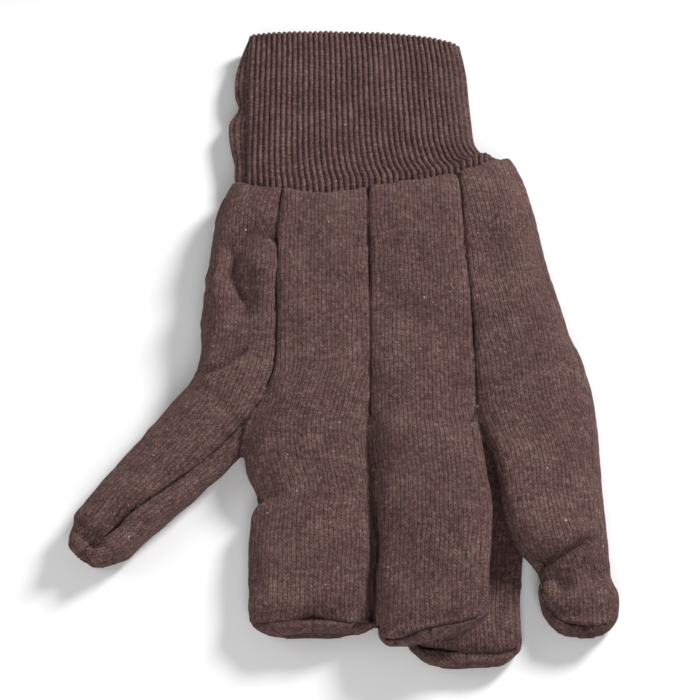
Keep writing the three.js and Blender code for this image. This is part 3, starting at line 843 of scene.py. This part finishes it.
def sewn(points, quads, edges, spot, names):
    """Presses the seams, creases, gathers and small unevenness into a skin."""
    normals = normals_of(points, quads)
    upper = np.clip(spot["level"] * 2.2 - 0.5, 0, 1)
    push = np.zeros(len(points))
    seam = np.abs(spot["field"])
    near = bell(seam, SEAM_WIDTH)
    push += CROWN_HEIGHT * between_strips(points, spot, names) * upper * bell(seam, CROWN_WIDTH)
    push -= SEAM_DEPTH * near * spot["seam_share"]
    pucker = lumps(points * np.array([0.35, 1.0, 0.35]), PUCKER_SIZE, 1)
    push += PUCKER_HEIGHT * pucker * bell(seam, PUCKER_REACH) * (1 - near)
    lip = bell(spot["tip_seam"] + LIP_AT, LIP_WIDTH) * upper
    push += LIP_HEIGHT * lip * spot["seam_share"]
    from_mouth = np.clip(spot["along"], 0, None)
    gather = lumps(points * np.array([1.0, 0.18, 0.5]), GATHER_SIZE, 2)
    push += GATHER_HEIGHT * gather * np.exp(-from_mouth / GATHER_REACH)
    push -= TUCK_DEPTH * bell(from_mouth, TUCK_WIDTH)
    push += BROAD_HEIGHT * lumps(points, BROAD_SIZE, 3) * upper
    push += MEDIUM_HEIGHT * lumps(points * np.array([1.0, 0.6, 1.0]), MEDIUM_SIZE, 4)
    push += FINE_HEIGHT * lumps(points, FINE_SIZE, 5)
    for k, key in enumerate(names):
        mine = np.clip(upper * 1.4, 0, 1) * (spot["owner"] == k)
        for path, width, depth in CREASES[key]:
            away, along = line_distance(points, path)
            taper = np.clip(np.minimum(along, 1 - along) * 5 + 0.25, 0, 1)
            push -= depth * mine * taper * bell(away, width)
    moved = points + normals * push[:, None]
    if "gap" in spot:
        down = np.clip((GAP_STARTS - points[:, 1]) / (GAP_STARTS - GAP_FULL), 0, 1)
        drop = GAP_DEPTH * down * bell(spot["gap"], GAP_WIDTH)
        drop *= np.clip(normals[:, 2] * 2, 0, 1)
        moved[:, 2] -= np.minimum(drop, np.maximum(moved[:, 2] - GAP_FLOOR, 0))
    # Points near the table are evened out, so that the wall behind them doesn't fold over.
    on_table = np.clip(1.6 - moved[:, 2] / 1.8, 0, 1)[:, None]
    moved += on_table * (relaxed(moved, edges, 4) - moved)
    lowest = TABLE_GAP + UNDERSIDE_GAP * (1 - np.clip(spot["level"] * 4, 0, 1))
    moved[:, 2] = np.maximum(moved[:, 2], lowest)
    return relaxed(moved, edges, 1, 0.3)


# How often the wrist's edge is evened out, the faces below which a patch is an island, and the
# labels of the faces that aren't a strip's: the palm's, and those past the wrist, left off.
RIM_ROUNDS = 14
ISLAND_FACES = 600
PALM = -1
OFF = -2


def smooth_rim(points, quads, kept):
    """Evens out the open edge of a skin at the wrist."""
    uses = {}
    for i in np.flatnonzero(kept):
        for pair in rim_of(quads[i]):
            uses[pair] = uses.get(pair, 0) + 1
    rim = np.array([pair for pair, count in uses.items() if count == 1])
    if len(rim) == 0:
        return points
    on_rim = np.bincount(rim.ravel(), minlength=len(points)) == 2
    points = points.copy()
    for _ in range(RIM_ROUNDS):
        total = neighbours_total(points, rim)
        points[on_rim] += 0.5 * (total[on_rim] / 2 - points[on_rim])
    return points


def without_islands(quads, label):
    """Gives each small patch that another panel surrounds to that panel."""
    faces_at = {}
    for i in np.flatnonzero(label > OFF):
        for pair in rim_of(quads[i]):
            faces_at.setdefault(pair, []).append(i)
    beside = [[] for _ in quads]
    for pair in faces_at.values():
        if len(pair) == 2:
            beside[pair[0]].append(pair[1])
            beside[pair[1]].append(pair[0])
    label = label.copy()
    seen = np.zeros(len(quads), bool)
    for start in np.flatnonzero(label > OFF):
        if seen[start]:
            continue
        patch = [start]
        seen[start] = True
        around = []
        for i in patch:
            for j in beside[i]:
                if label[j] != label[start]:
                    around.append(label[j])
                elif not seen[j]:
                    seen[j] = True
                    patch.append(j)
        if len(patch) < ISLAND_FACES and around:
            values, counts = np.unique(around, return_counts=True)
            label[patch] = values[np.argmax(counts)]
    return label


def panel(name, node, parts):
    """One panel of the glove from its share of the skins, with its wall inwards."""
    vertices = []
    faces = []
    across = []
    along = []
    seam = []
    for points, quads, u, v, near in parts:
        used = sorted({i for side in quads for i in side})
        number = {old: len(vertices) + new for new, old in enumerate(used)}
        vertices.extend((points[used] + DRAWING_AT) * MM)
        faces.extend(tuple(number[i] for i in side) for side in quads)
        across.extend(u[used])
        along.extend(v[used])
        seam.extend(near[used])
    made = new_object(name, vertices, faces)
    add_measures(made, knit_across=across, knit_along=along, seam_near=seam)
    thick = made.modifiers.new("wall", "SOLIDIFY")
    thick.thickness = JERSEY_WALL * MM
    thick.offset = -1
    apply_all(made)
    made.data.shade_smooth()
    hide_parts(node)
    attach(made, "root")
    return made


# How far the painted shade along a seam's groove reaches, and how far past the wrist a face still
# counts.
SEAM_SHADE = 2.5
PAST_WRIST = 0.4


def cut(points, quads, edges, spot, names):
    """Sews a skin and cuts it along its seams: each strip's share of it, and the palm's."""
    signed = spot["field"] * np.array([SIGNS[key] for key in names])[spot["owner"]]
    drawn = drawn_to_seams(points, edges, signed)
    spot["field"] = np.where(np.abs(signed) < SEAM_REACH, 0, spot["field"])
    spot["seam_share"] = seam_share(drawn, spot, names)
    shaped = sewn(drawn, quads, edges, spot, names)
    # Painted shade along the seams: strongest on a seam's line where its groove is pressed deepest,
    # fading off to the sides.
    seam_near = spot["seam_share"] * np.clip(1 - np.abs(spot["field"]) / SEAM_SHADE, 0, 1)
    corners = corners_of(quads)
    face_field = spot["field"][corners].mean(axis=1)
    leading = np.argmax(spot["field"][corners], axis=1)
    face_owner = spot["owner"][corners[np.arange(len(corners)), leading]]
    kept = spot["along"][corners].min(axis=1) > -PAST_WRIST
    if len(names) == 1:
        kept[:] = True
    shaped = smooth_rim(shaped, quads, kept)
    label = np.where(face_field > 0, face_owner, PALM)
    label = without_islands(quads, np.where(kept, label, OFF))
    shares = {}
    for number, key in [*enumerate(names), (PALM, "palm")]:
        sides = [quads[i] for i in np.flatnonzero(label == number)]
        across = spot["palm_across" if number == PALM else "back_across"]
        shares[key] = (shaped, sides, across, spot["along"], seam_near)
    return shares


skins = [
    cut(*marked_skin("body_skin", ["index", "middle", "little", "thumb"])),
    cut(*marked_skin("ring_skin", ["ring"])),
]
pieces = {}
for key in ("palm", "thumb", "index", "middle", "ring", "little"):
    name = "palm_panel" if key == "palm" else f"{key}_strip"
    parts = [shares[key] for shares in skins if key in shares]
    pieces[name] = panel(f"{name}_jersey", name, parts)

# The cuff.
CUFF_LENGTH = 79.5
CUFF_WIDTH = 98.0
CUFF_THICKNESS = 14.0
CUFF_WALL = 2.6
RIBS = 88
POINTS_A_RIB = 6
# How deep the fold on the thumb side is, and the puff at the seam on the other side: its height,
# how far in it lies, its width, and its length as a share of the cuff's.
PLEAT_DROP = 1.8
PUFF_HIGH = 5.0
PUFF_INSET = 7.5
PUFF_WIDTH = 8.0
PUFF_LENGTH = 0.07
# Height of the ribs and how full they are, how far in their middle lies, how far each wavers and
# how far they sway.
RIB_HEIGHT = 1.2
RIB_FULLNESS = 0.8
RIB_INSET = 0.6
RIB_WAVER = 0.35
RIB_SWAY = 0.9
# The cuff's gap to the cuff seam and to the table, and the share of its relief that its inside has.
CUFF_GAP = 0.3
INSIDE_SHARE = 0.6
# Along the cuff, as shares of its length: its rings tucked under the jersey, and where its rounded
# rim starts. Then how many rings its outside, its rim and its inside have.
TUCKED_AT = [-0.055, -0.03]
RIM_AT = 0.985
OUTSIDE_RINGS = 66
RIM_RINGS = 7
INSIDE_RINGS = 30
OUTLINE_POINTS = 720
# Up the cuff from its seam: along, left, pleat, right, high, slant, bow. Along is a share of its
# length, left to right are shares of its width, high is a share of its thickness, and slant and bow
# are shares of the hand's at the cuff seam.
CUFF_ROWS = [
    (0.0, 0.035, 0.082, -0.07, 0.9, 1.0, 1.0),
    (0.04, 0.03, 0.086, -0.066, 0.99, 0.95, 0.9),
    (0.12, 0.03, 0.094, -0.03, 0.98, 0.8, 0.7),
    (0.3, 0.01, 0.09, 0.0, 0.96, 0.3, 0.15),
    (0.44, -0.004, 0.086, 0.005, 0.95, 0.1, 0.0),
    (0.56, 0.034, 0.082, 0.011, 0.93, 0.0, 0.0),
    (0.64, 0.016, 0.08, 0.014, 0.94, -0.05, 0.0),
    (0.74, 0.012, 0.076, 0.016, 0.95, -0.1, 0.0),
    (0.86, 0.03, 0.074, 0.022, 0.94, -0.3, -0.05),
    (1.0, 0.066, 0.072, 0.037, 0.92, -0.4, -0.1),
]
# The cuff's left side without its fold, and how far it starts left of the hand, of its width.
CUFF_PLAIN_LEFT = 0.02
CUFF_OVERHANG = 0.03


def cuff_ring(row, inset):
    """A ring of evenly spaced points and their outward directions, in a section's own plane."""
    angle = np.linspace(0, 2 * math.pi, OUTLINE_POINTS, endpoint=False)
    squareness = np.where(angle < math.pi, BACK_SQUARENESS, PALM_SQUARENESS)
    across = -np.sign(np.cos(angle)) * np.abs(np.cos(angle)) ** (2 / squareness)
    up = np.sign(np.sin(angle)) * np.abs(np.sin(angle)) ** (2 / squareness)
    half = row["half"] - inset
    rise = row["tall"] * (1 - WIDEST_LEVEL) - inset
    drop = row["tall"] * WIDEST_LEVEL - inset
    height = row["level"] + np.where(up > 0, up * rise, up * drop)
    outline = np.stack([row["centre"] + across * half, height], 1)
    looped = np.vstack([outline, outline[:1]])
    reach = np.concatenate([[0], np.cumsum(np.linalg.norm(np.diff(looped, axis=0), axis=1))])
    count = RIBS * POINTS_A_RIB
    want = reach[-1] * np.arange(count) / count
    even = np.stack([np.interp(want, reach, looped[:, k]) for k in range(2)], axis=1)
    ahead = np.roll(even, -1, axis=0) - np.roll(even, 1, axis=0)
    ahead /= np.linalg.norm(ahead, axis=1, keepdims=True)
    return even, np.stack([-ahead[:, 1], ahead[:, 0]], axis=1)


def cuff_steps():
    """The cuff's rings up its outside, round its rim and down its inside: place, row, lift, inset."""
    table = np.array(CUFF_ROWS)
    outer_at = np.concatenate([TUCKED_AT, np.linspace(0.0, RIM_AT, OUTSIDE_RINGS)])
    rows = eased(table[:, 0], table, np.clip(outer_at, 0, 1))
    steps = [(at, row, 0.0, 0.0) for at, row in zip(outer_at, rows)]
    rim = (1 - RIM_AT) * CUFF_LENGTH
    for turn in np.linspace(0, math.pi, RIM_RINGS + 2)[1:-1]:
        inset = CUFF_WALL * (1 - math.cos(turn)) / 2
        steps.append((RIM_AT, rows[-1], rim * math.sin(turn), inset))
    inner_at = np.linspace(RIM_AT, 0.0, INSIDE_RINGS)
    for at, row in zip(inner_at, eased(table[:, 0], table, inner_at)):
        steps.append((at, row, 0.0, CUFF_WALL))
    return steps


def make_cuff():
    _, hand_left, _, _, hand_right, _, _, mouth_slant, mouth_bow = PALM_ROWS[0]
    side_left = PALM_LEFT + hand_left * THUMB_STRIP
    side_right = PALM_RIGHT + hand_right * LITTLE_STRIP
    cuff_left = side_left - CUFF_OVERHANG * CUFF_WIDTH
    count = RIBS * POINTS_A_RIB
    rib = np.arange(count) / POINTS_A_RIB
    profile = np.abs(np.sin(math.pi * (rib % 1.0))) ** RIB_FULLNESS
    rings = []
    along = []
    for at, row, lift, inset in cuff_steps():
        _, left, pleat, right, high, slant, bow = row
        from_x = cuff_left + CUFF_PLAIN_LEFT * CUFF_WIDTH
        to_x = cuff_left + CUFF_WIDTH - right * CUFF_WIDTH
        tall = CUFF_THICKNESS * high
        low = CUFF_THICKNESS * (1.03 - high) / 2 + CUFF_GAP
        section = {
            "centre": (from_x + to_x) / 2,
            "half": (to_x - from_x) / 2,
            "tall": tall,
            "level": low + tall * WIDEST_LEVEL,
        }
        even, outward = cuff_ring(section, RIB_INSET)
        share = 1.0 if inset < CUFF_WALL / 2 else INSIDE_SHARE
        swell = RIB_HEIGHT * share * (profile - 0.45)
        waver = np.array([noise.noise(Vector((k * 0.31, at * 4.0, 3.0))) for k in rib])
        flat = even + outward * (swell - inset + waver * RIB_WAVER)[:, None]
        x = flat[:, 0]
        z = flat[:, 1]
        edge = np.clip((2 * x - side_left - side_right) / (side_right - side_left), -1.1, 1.1)
        y = MOUTH_Y + CUFF_GAP + at * CUFF_LENGTH + lift + mouth_slant * slant * x
        y = y + mouth_bow * PALM_LENGTH * bow * edge**4
        over = np.clip((z - section["level"]) / 4, 0, 1)
        puff = bell(x - side_right + PUFF_INSET, PUFF_WIDTH) * bell(at, PUFF_LENGTH)
        z = z + PUFF_HIGH * puff * over
        past = cuff_left + pleat * CUFF_WIDTH - x
        stretch = (pleat - left) / (pleat - CUFF_PLAIN_LEFT)
        x = np.where(past > 0, x - past * (stretch - 1), x)
        deep = min(1.0, (pleat - left) / 0.05)
        z = z - PLEAT_DROP * deep * np.clip(past / 0.9, 0, 1) * over * share
        sway = np.array([noise.noise(Vector((k * 0.045, at * 5.0, 8.0))) for k in rib])
        y = y + RIB_SWAY * sway * min(1.0, 2 * at)
        rings.append(np.stack([x, y, z], axis=1))
        along.append(at * CUFF_LENGTH + lift + (inset if lift == 0 else 0) * 0.6)
    rings = np.array(rings)
    rows = len(rings)
    faces = faces_between(rows, count)
    for i in range(count):
        here = (rows - 1) * count + i
        beside = (rows - 1) * count + (i + 1) % count
        faces.append((here, beside, (i + 1) % count, i))
    faces = [tuple(reversed(side)) for side in faces]
    vertices = rings.reshape(-1, 3)
    made = new_object("knit_cuff_rib", (vertices + DRAWING_AT) * MM, faces)
    add_measures(made, knit_across=np.tile(rib, rows), knit_along=np.repeat(along, count))
    made.data.shade_smooth()
    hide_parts("knit_cuff")
    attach(made, "root")
    return made


cuff = make_cuff()


# Materials.
class Nodes:
    """Short ways to add and join the nodes of a tree."""

    def __init__(self, tree):
        self.tree = tree

    def add(self, kind, **inputs):
        made = self.tree.nodes.new(kind)
        for key, value in inputs.items():
            self.feed(made.inputs[key], value)
        return made

    def feed(self, socket, value):
        if isinstance(value, bpy.types.NodeSocket):
            self.tree.links.new(value, socket)
        else:
            socket.default_value = value

    def math(self, operation, *values, clamp=False):
        made = self.tree.nodes.new("ShaderNodeMath")
        made.operation = operation
        made.use_clamp = clamp
        for socket, value in zip(made.inputs, values):
            self.feed(socket, value)
        return made.outputs[0]

    def attribute(self, name):
        made = self.add("ShaderNodeAttribute")
        made.attribute_name = name
        return made.outputs["Fac"]

    def past(self, value, middle, scale, clamp=False):
        """How far a value is past a middle, times a scale."""
        return self.math("MULTIPLY", self.math("SUBTRACT", value, middle), scale, clamp=clamp)

    def mix(self, share, one, other):
        made = self.tree.nodes.new("ShaderNodeMix")
        made.data_type = "RGBA"
        self.feed(made.inputs[0], share)
        self.feed(made.inputs[6], one)
        self.feed(made.inputs[7], other)
        return made.outputs[2]

    def plane(self, x, y):
        made = self.tree.nodes.new("ShaderNodeCombineXYZ")
        self.feed(made.inputs[0], x)
        self.feed(made.inputs[1], y)
        return made.outputs[0]


def knit_group():
    """Columns of V stitches with pits between them. Across counts columns, and Along stitches.

    Out runs from 0 at a column's middle to 1 between two columns, and beat from 0 at the middle of a
    stitch to 1 at its ends.
    """
    group = bpy.data.node_groups.new("knit stitches", "ShaderNodeTree")
    face = group.interface
    for name in ("Across", "Along"):
        face.new_socket(name=name, in_out="INPUT", socket_type="NodeSocketFloat")
    for name in ("Height", "Gap", "Stitch"):
        face.new_socket(name=name, in_out="OUTPUT", socket_type="NodeSocketFloat")
    n = Nodes(group)
    inputs = group.nodes.new("NodeGroupInput")
    outputs = group.nodes.new("NodeGroupOutput")
    column = inputs.outputs["Across"]
    aside = n.math("ABSOLUTE", n.math("SUBTRACT", n.math("FRACT", column), 0.5))
    out = n.math("MULTIPLY", aside, 2.0)
    stitch = n.math("SUBTRACT", inputs.outputs["Along"], n.math("MULTIPLY", out, 0.45))
    beat = n.math("SUBTRACT", n.math("FRACT", stitch), 0.5)
    beat = n.math("MULTIPLY", n.math("ABSOLUTE", beat), 2.0)
    beat_gap = n.math("POWER", beat, 4.0)
    off_leg = n.past(out, 0.36, 1.55)
    leg = n.math("SQRT", n.math("SUBTRACT", 1.0, n.math("MULTIPLY", off_leg, off_leg), clamp=True))
    height = n.math("MULTIPLY", leg, n.math("SUBTRACT", 1.0, n.math("MULTIPLY", beat_gap, 0.5)))
    # Gap is a painted shade mask: 1 in the pits between columns and at the ends of stitches, where the
    # knit lies in shadow.
    between = n.math("POWER", out, 3.5)
    pit = n.math("POWER", beat, 1.8)
    between = n.math("MULTIPLY", between, n.math("ADD", 0.05, n.math("MULTIPLY", pit, 1.1)))
    inside = n.math("POWER", n.math("SUBTRACT", 1.0, out), 6.0)
    inside = n.math("MULTIPLY", inside, n.math("MULTIPLY", beat_gap, 0.7))
    gap = n.math("ADD", between, inside, clamp=True)
    shade = group.nodes.new("ShaderNodeTexWhiteNoise")
    shade.noise_dimensions = "2D"
    leg_number = n.math("FLOOR", n.math("MULTIPLY", column, 2.0))
    n.feed(shade.inputs["Vector"], n.plane(leg_number, n.math("FLOOR", stitch)))
    n.feed(outputs.inputs["Height"], height)
    n.feed(outputs.inputs["Gap"], gap)
    n.feed(outputs.inputs["Stitch"], shade.outputs["Value"])
    return group


def heather_group():
    """Brown heather yarn with fuzz, painted shade in the pits between stitches, and a few stray pale,
    yellow and red fibres.
    """
    group = bpy.data.node_groups.new("heather yarn", "ShaderNodeTree")
    face = group.interface
    for name in ("Stitch", "Gap"):
        face.new_socket(name=name, in_out="INPUT", socket_type="NodeSocketFloat")
    for name in ("Dark", "Mid", "Light", "Worn"):
        face.new_socket(name=name, in_out="INPUT", socket_type="NodeSocketColor")
    face.new_socket(name="Place", in_out="INPUT", socket_type="NodeSocketVector")
    face.new_socket(name="Color", in_out="OUTPUT", socket_type="NodeSocketColor")
    face.new_socket(name="Fuzz", in_out="OUTPUT", socket_type="NodeSocketFloat")
    n = Nodes(group)
    inputs = group.nodes.new("NodeGroupInput")
    outputs = group.nodes.new("NodeGroupOutput")
    place = inputs.outputs["Place"]
    fine = n.add("ShaderNodeTexNoise", Vector=place, Scale=2300.0, Detail=2.0, Roughness=0.7)
    tuft = n.add("ShaderNodeTexNoise", Vector=place, Scale=620.0, Detail=3.0, Roughness=0.6)
    cloud = n.add("ShaderNodeTexNoise", Vector=place, Scale=75.0, Detail=4.0, Roughness=0.65)
    tone = n.past(fine.outputs[0], 0.5, 1.8)
    for value, strength in (
        (tuft.outputs[0], 1.6),
        (inputs.outputs["Stitch"], 0.3),
        (cloud.outputs[0], 0.8),
    ):
        tone = n.math("ADD", tone, n.past(value, 0.5, strength))
    light = n.math("MULTIPLY", tone, 1.6, clamp=True)
    dark = n.math("MULTIPLY", tone, -1.5, clamp=True)
    warm = n.past(cloud.outputs[0], 0.45, 6.0, clamp=True)
    color = n.mix(n.math("MULTIPLY", warm, 0.7), inputs.outputs["Mid"], inputs.outputs["Worn"])
    color = n.mix(light, color, inputs.outputs["Light"])
    color = n.mix(n.math("MULTIPLY", dark, 0.75), color, inputs.outputs["Dark"])
    # Painted shade: the colour is darkened towards the dark yarn in the pits between stitches.
    color = n.mix(n.math("MULTIPLY", inputs.outputs["Gap"], 0.85), color, inputs.outputs["Dark"])
    # Stray fibres: how fine they are, their colour, how rare they are and where their noise starts.
    for scale, shade, rare, seed in (
        (700.0, (0.4, 0.3, 0.19, 1), 0.98, 0.0),
        (640.0, (0.3, 0.11, 0.08, 1), 0.98, 3.1),
        (620.0, (0.46, 0.38, 0.33, 1), 0.99, 7.7),
    ):
        moved = n.add("ShaderNodeVectorMath")
        moved.operation = "ADD"
        n.feed(moved.inputs[0], place)
        moved.inputs[1].default_value = (seed, seed * 0.7, seed * 1.3)
        cells = n.add("ShaderNodeTexVoronoi", Vector=moved.outputs[0], Scale=scale)
        parts = n.add("ShaderNodeSeparateColor", Color=cells.outputs["Color"])
        chosen = n.math("GREATER_THAN", parts.outputs[0], rare)
        size = n.math("MULTIPLY", parts.outputs[1], 0.33)
        close = n.math("MULTIPLY", n.math("SUBTRACT", size, cells.outputs["Distance"]), 9.0, clamp=True)
        color = n.mix(n.math("MULTIPLY", n.math("MULTIPLY", chosen, close), 0.9), color, shade)
    n.feed(outputs.inputs["Color"], color)
    fuzz = n.math("ADD", fine.outputs[0], n.math("MULTIPLY", tuft.outputs[0], 1.2))
    n.feed(outputs.inputs["Fuzz"], fuzz)
    return group


KNIT = knit_group()
HEATHER = heather_group()
# The heather's dark yarn tone, also used as the colour of the painted shade in the pits between
# stitches and along the seams' grooves.
DARK_YARN_AND_SHADE = (0.024, 0.0115, 0.011, 1)
# Depth of the knit's relief, in metres.
RELIEF = 0.0004


def knit_material(name, column, stitch, mid, light, worn, bump):
    """Knitted heather. column and stitch are its sizes in the units of its attributes."""
    made = bpy.data.materials.new(name)
    made.use_nodes = True
    tree = made.node_tree
    tree.nodes.clear()
    n = Nodes(tree)
    place = n.add("ShaderNodeTexCoord").outputs["Object"]
    sway = n.add("ShaderNodeTexNoise", Vector=place, Scale=90.0, Detail=2.0)
    sway_across = n.past(sway.outputs[0], 0.5, 1.3)
    drift = n.add("ShaderNodeTexNoise", Vector=place, Scale=45.0, Detail=3.0)
    drift_along = n.past(drift.outputs[0], 0.5, 7.0)
    stitches = n.add("ShaderNodeGroup")
    stitches.node_tree = KNIT
    columns = n.math("DIVIDE", n.attribute("knit_across"), column)
    rows = n.math("DIVIDE", n.attribute("knit_along"), stitch)
    n.feed(stitches.inputs["Across"], n.math("ADD", columns, sway_across))
    n.feed(stitches.inputs["Along"], n.math("ADD", rows, drift_along))
    yarn = n.add("ShaderNodeGroup")
    yarn.node_tree = HEATHER
    n.feed(yarn.inputs["Stitch"], stitches.outputs["Stitch"])
    n.feed(yarn.inputs["Gap"], stitches.outputs["Gap"])
    n.feed(yarn.inputs["Place"], place)
    for key, shade in (("Dark", DARK_YARN_AND_SHADE), ("Mid", mid), ("Light", light), ("Worn", worn)):
        yarn.inputs[key].default_value = shade
    # Painted shade along the seams' grooves: the colour is darkened towards the dark yarn there, and
    # the bump is lowered.
    line = n.math("POWER", n.attribute("seam_near"), 6.0, clamp=True)
    color = n.mix(n.math("MULTIPLY", line, 0.8), yarn.outputs["Color"], DARK_YARN_AND_SHADE)
    relief = n.math("ADD", stitches.outputs["Height"], n.math("MULTIPLY", yarn.outputs["Fuzz"], 0.75))
    relief = n.math("SUBTRACT", relief, n.math("MULTIPLY", line, 1.5))
    bumped = n.add("ShaderNodeBump", Height=relief)
    bumped.inputs["Strength"].default_value = bump
    bumped.inputs["Distance"].default_value = RELIEF
    cloth = n.add("ShaderNodeBsdfPrincipled")
    n.feed(cloth.inputs["Base Color"], color)
    n.feed(cloth.inputs["Normal"], bumped.outputs[0])
    cloth.inputs["Roughness"].default_value = 0.95
    cloth.inputs["Specular IOR Level"].default_value = 0.1
    cloth.inputs["Sheen Weight"].default_value = 0.12
    cloth.inputs["Sheen Roughness"].default_value = 0.45
    cloth.inputs["Sheen Tint"].default_value = (0.6, 0.44, 0.4, 1)
    end = n.add("ShaderNodeOutputMaterial")
    n.feed(end.inputs["Surface"], cloth.outputs[0])
    return made


jersey = knit_material(
    "brown heather jersey", column=1.5, stitch=1.25, mid=(0.127, 0.068, 0.066, 1),
    light=(0.262, 0.162, 0.15, 1), worn=(0.128, 0.076, 0.061, 1), bump=1.15,
)
rib_knit = knit_material(
    "brown heather rib", column=1.0, stitch=1.5, mid=(0.115, 0.061, 0.062, 1),
    light=(0.23, 0.142, 0.134, 1), worn=(0.122, 0.075, 0.058, 1), bump=0.9,
)
for piece in pieces.values():
    piece.data.materials.append(jersey)
cuff.data.materials.append(rib_knit)


def pale_table():
    made = bpy.data.materials.new("pale table")
    made.use_nodes = True
    surface = made.node_tree.nodes["Principled BSDF"]
    surface.inputs["Base Color"].default_value = (0.92, 0.92, 0.92, 1)
    surface.inputs["Roughness"].default_value = 0.7
    bpy.ops.object.select_all(action="DESELECT")
    bpy.ops.mesh.primitive_plane_add(size=6, location=(0, 0, 0))
    table = bpy.context.active_object
    table.name = "table"
    table.data.materials.append(made)


def area_light(name, place, aim, size, power):
    data = bpy.data.lights.new(name, "AREA")
    data.shape = "DISK"
    data.size = size
    data.energy = power
    made = bpy.data.objects.new(name, data)
    made.location = place
    made.rotation_euler = (Vector(aim) - Vector(place)).to_track_quat("-Z", "Y").to_euler()
    bpy.context.scene.collection.objects.link(made)


pale_table()
glove_middle = (DRAWING_AT + np.array([0, 0, 10])) * MM
area_light("softbox", (0.78, 0.66, 0.66), glove_middle, size=0.35, power=17.6)
area_light("front fill", (0.02, -0.55, 0.5), (0.01, -0.09, 0.01), size=0.45, power=2.3)
area_light("left fill", (-0.62, 0.02, 0.42), (-0.02, 0.0, 0.01), size=0.45, power=1.2)
world = bpy.data.worlds.new("studio")
bpy.context.scene.world = world
world.use_nodes = True
background = world.node_tree.nodes["Background"]
background.inputs["Color"].default_value = (1, 1, 1, 1)
background.inputs["Strength"].default_value = 0.175
bpy.context.scene.view_settings.view_transform = "Standard"

# The camera looks along the glove from its fingers, 60 degrees up.
CAMERA_RISE = math.radians(60)
CAMERA_AWAY = 0.52
FOCAL_PIXELS = 1430
FRAME_PIXELS = 700
SENSOR_WIDTH = 36
camera_data = bpy.data.cameras.new("camera")
camera_data.sensor_width = SENSOR_WIDTH
camera_data.lens = SENSOR_WIDTH * FOCAL_PIXELS / FRAME_PIXELS
camera = bpy.data.objects.new("camera", camera_data)
away = Vector((0, -math.cos(CAMERA_RISE), math.sin(CAMERA_RISE))) * CAMERA_AWAY
camera.location = Vector(glove_middle) + away
camera.rotation_euler = (-away).to_track_quat("-Z", "Y").to_euler()
bpy.context.scene.collection.objects.link(camera)
bpy.context.scene.camera = camera
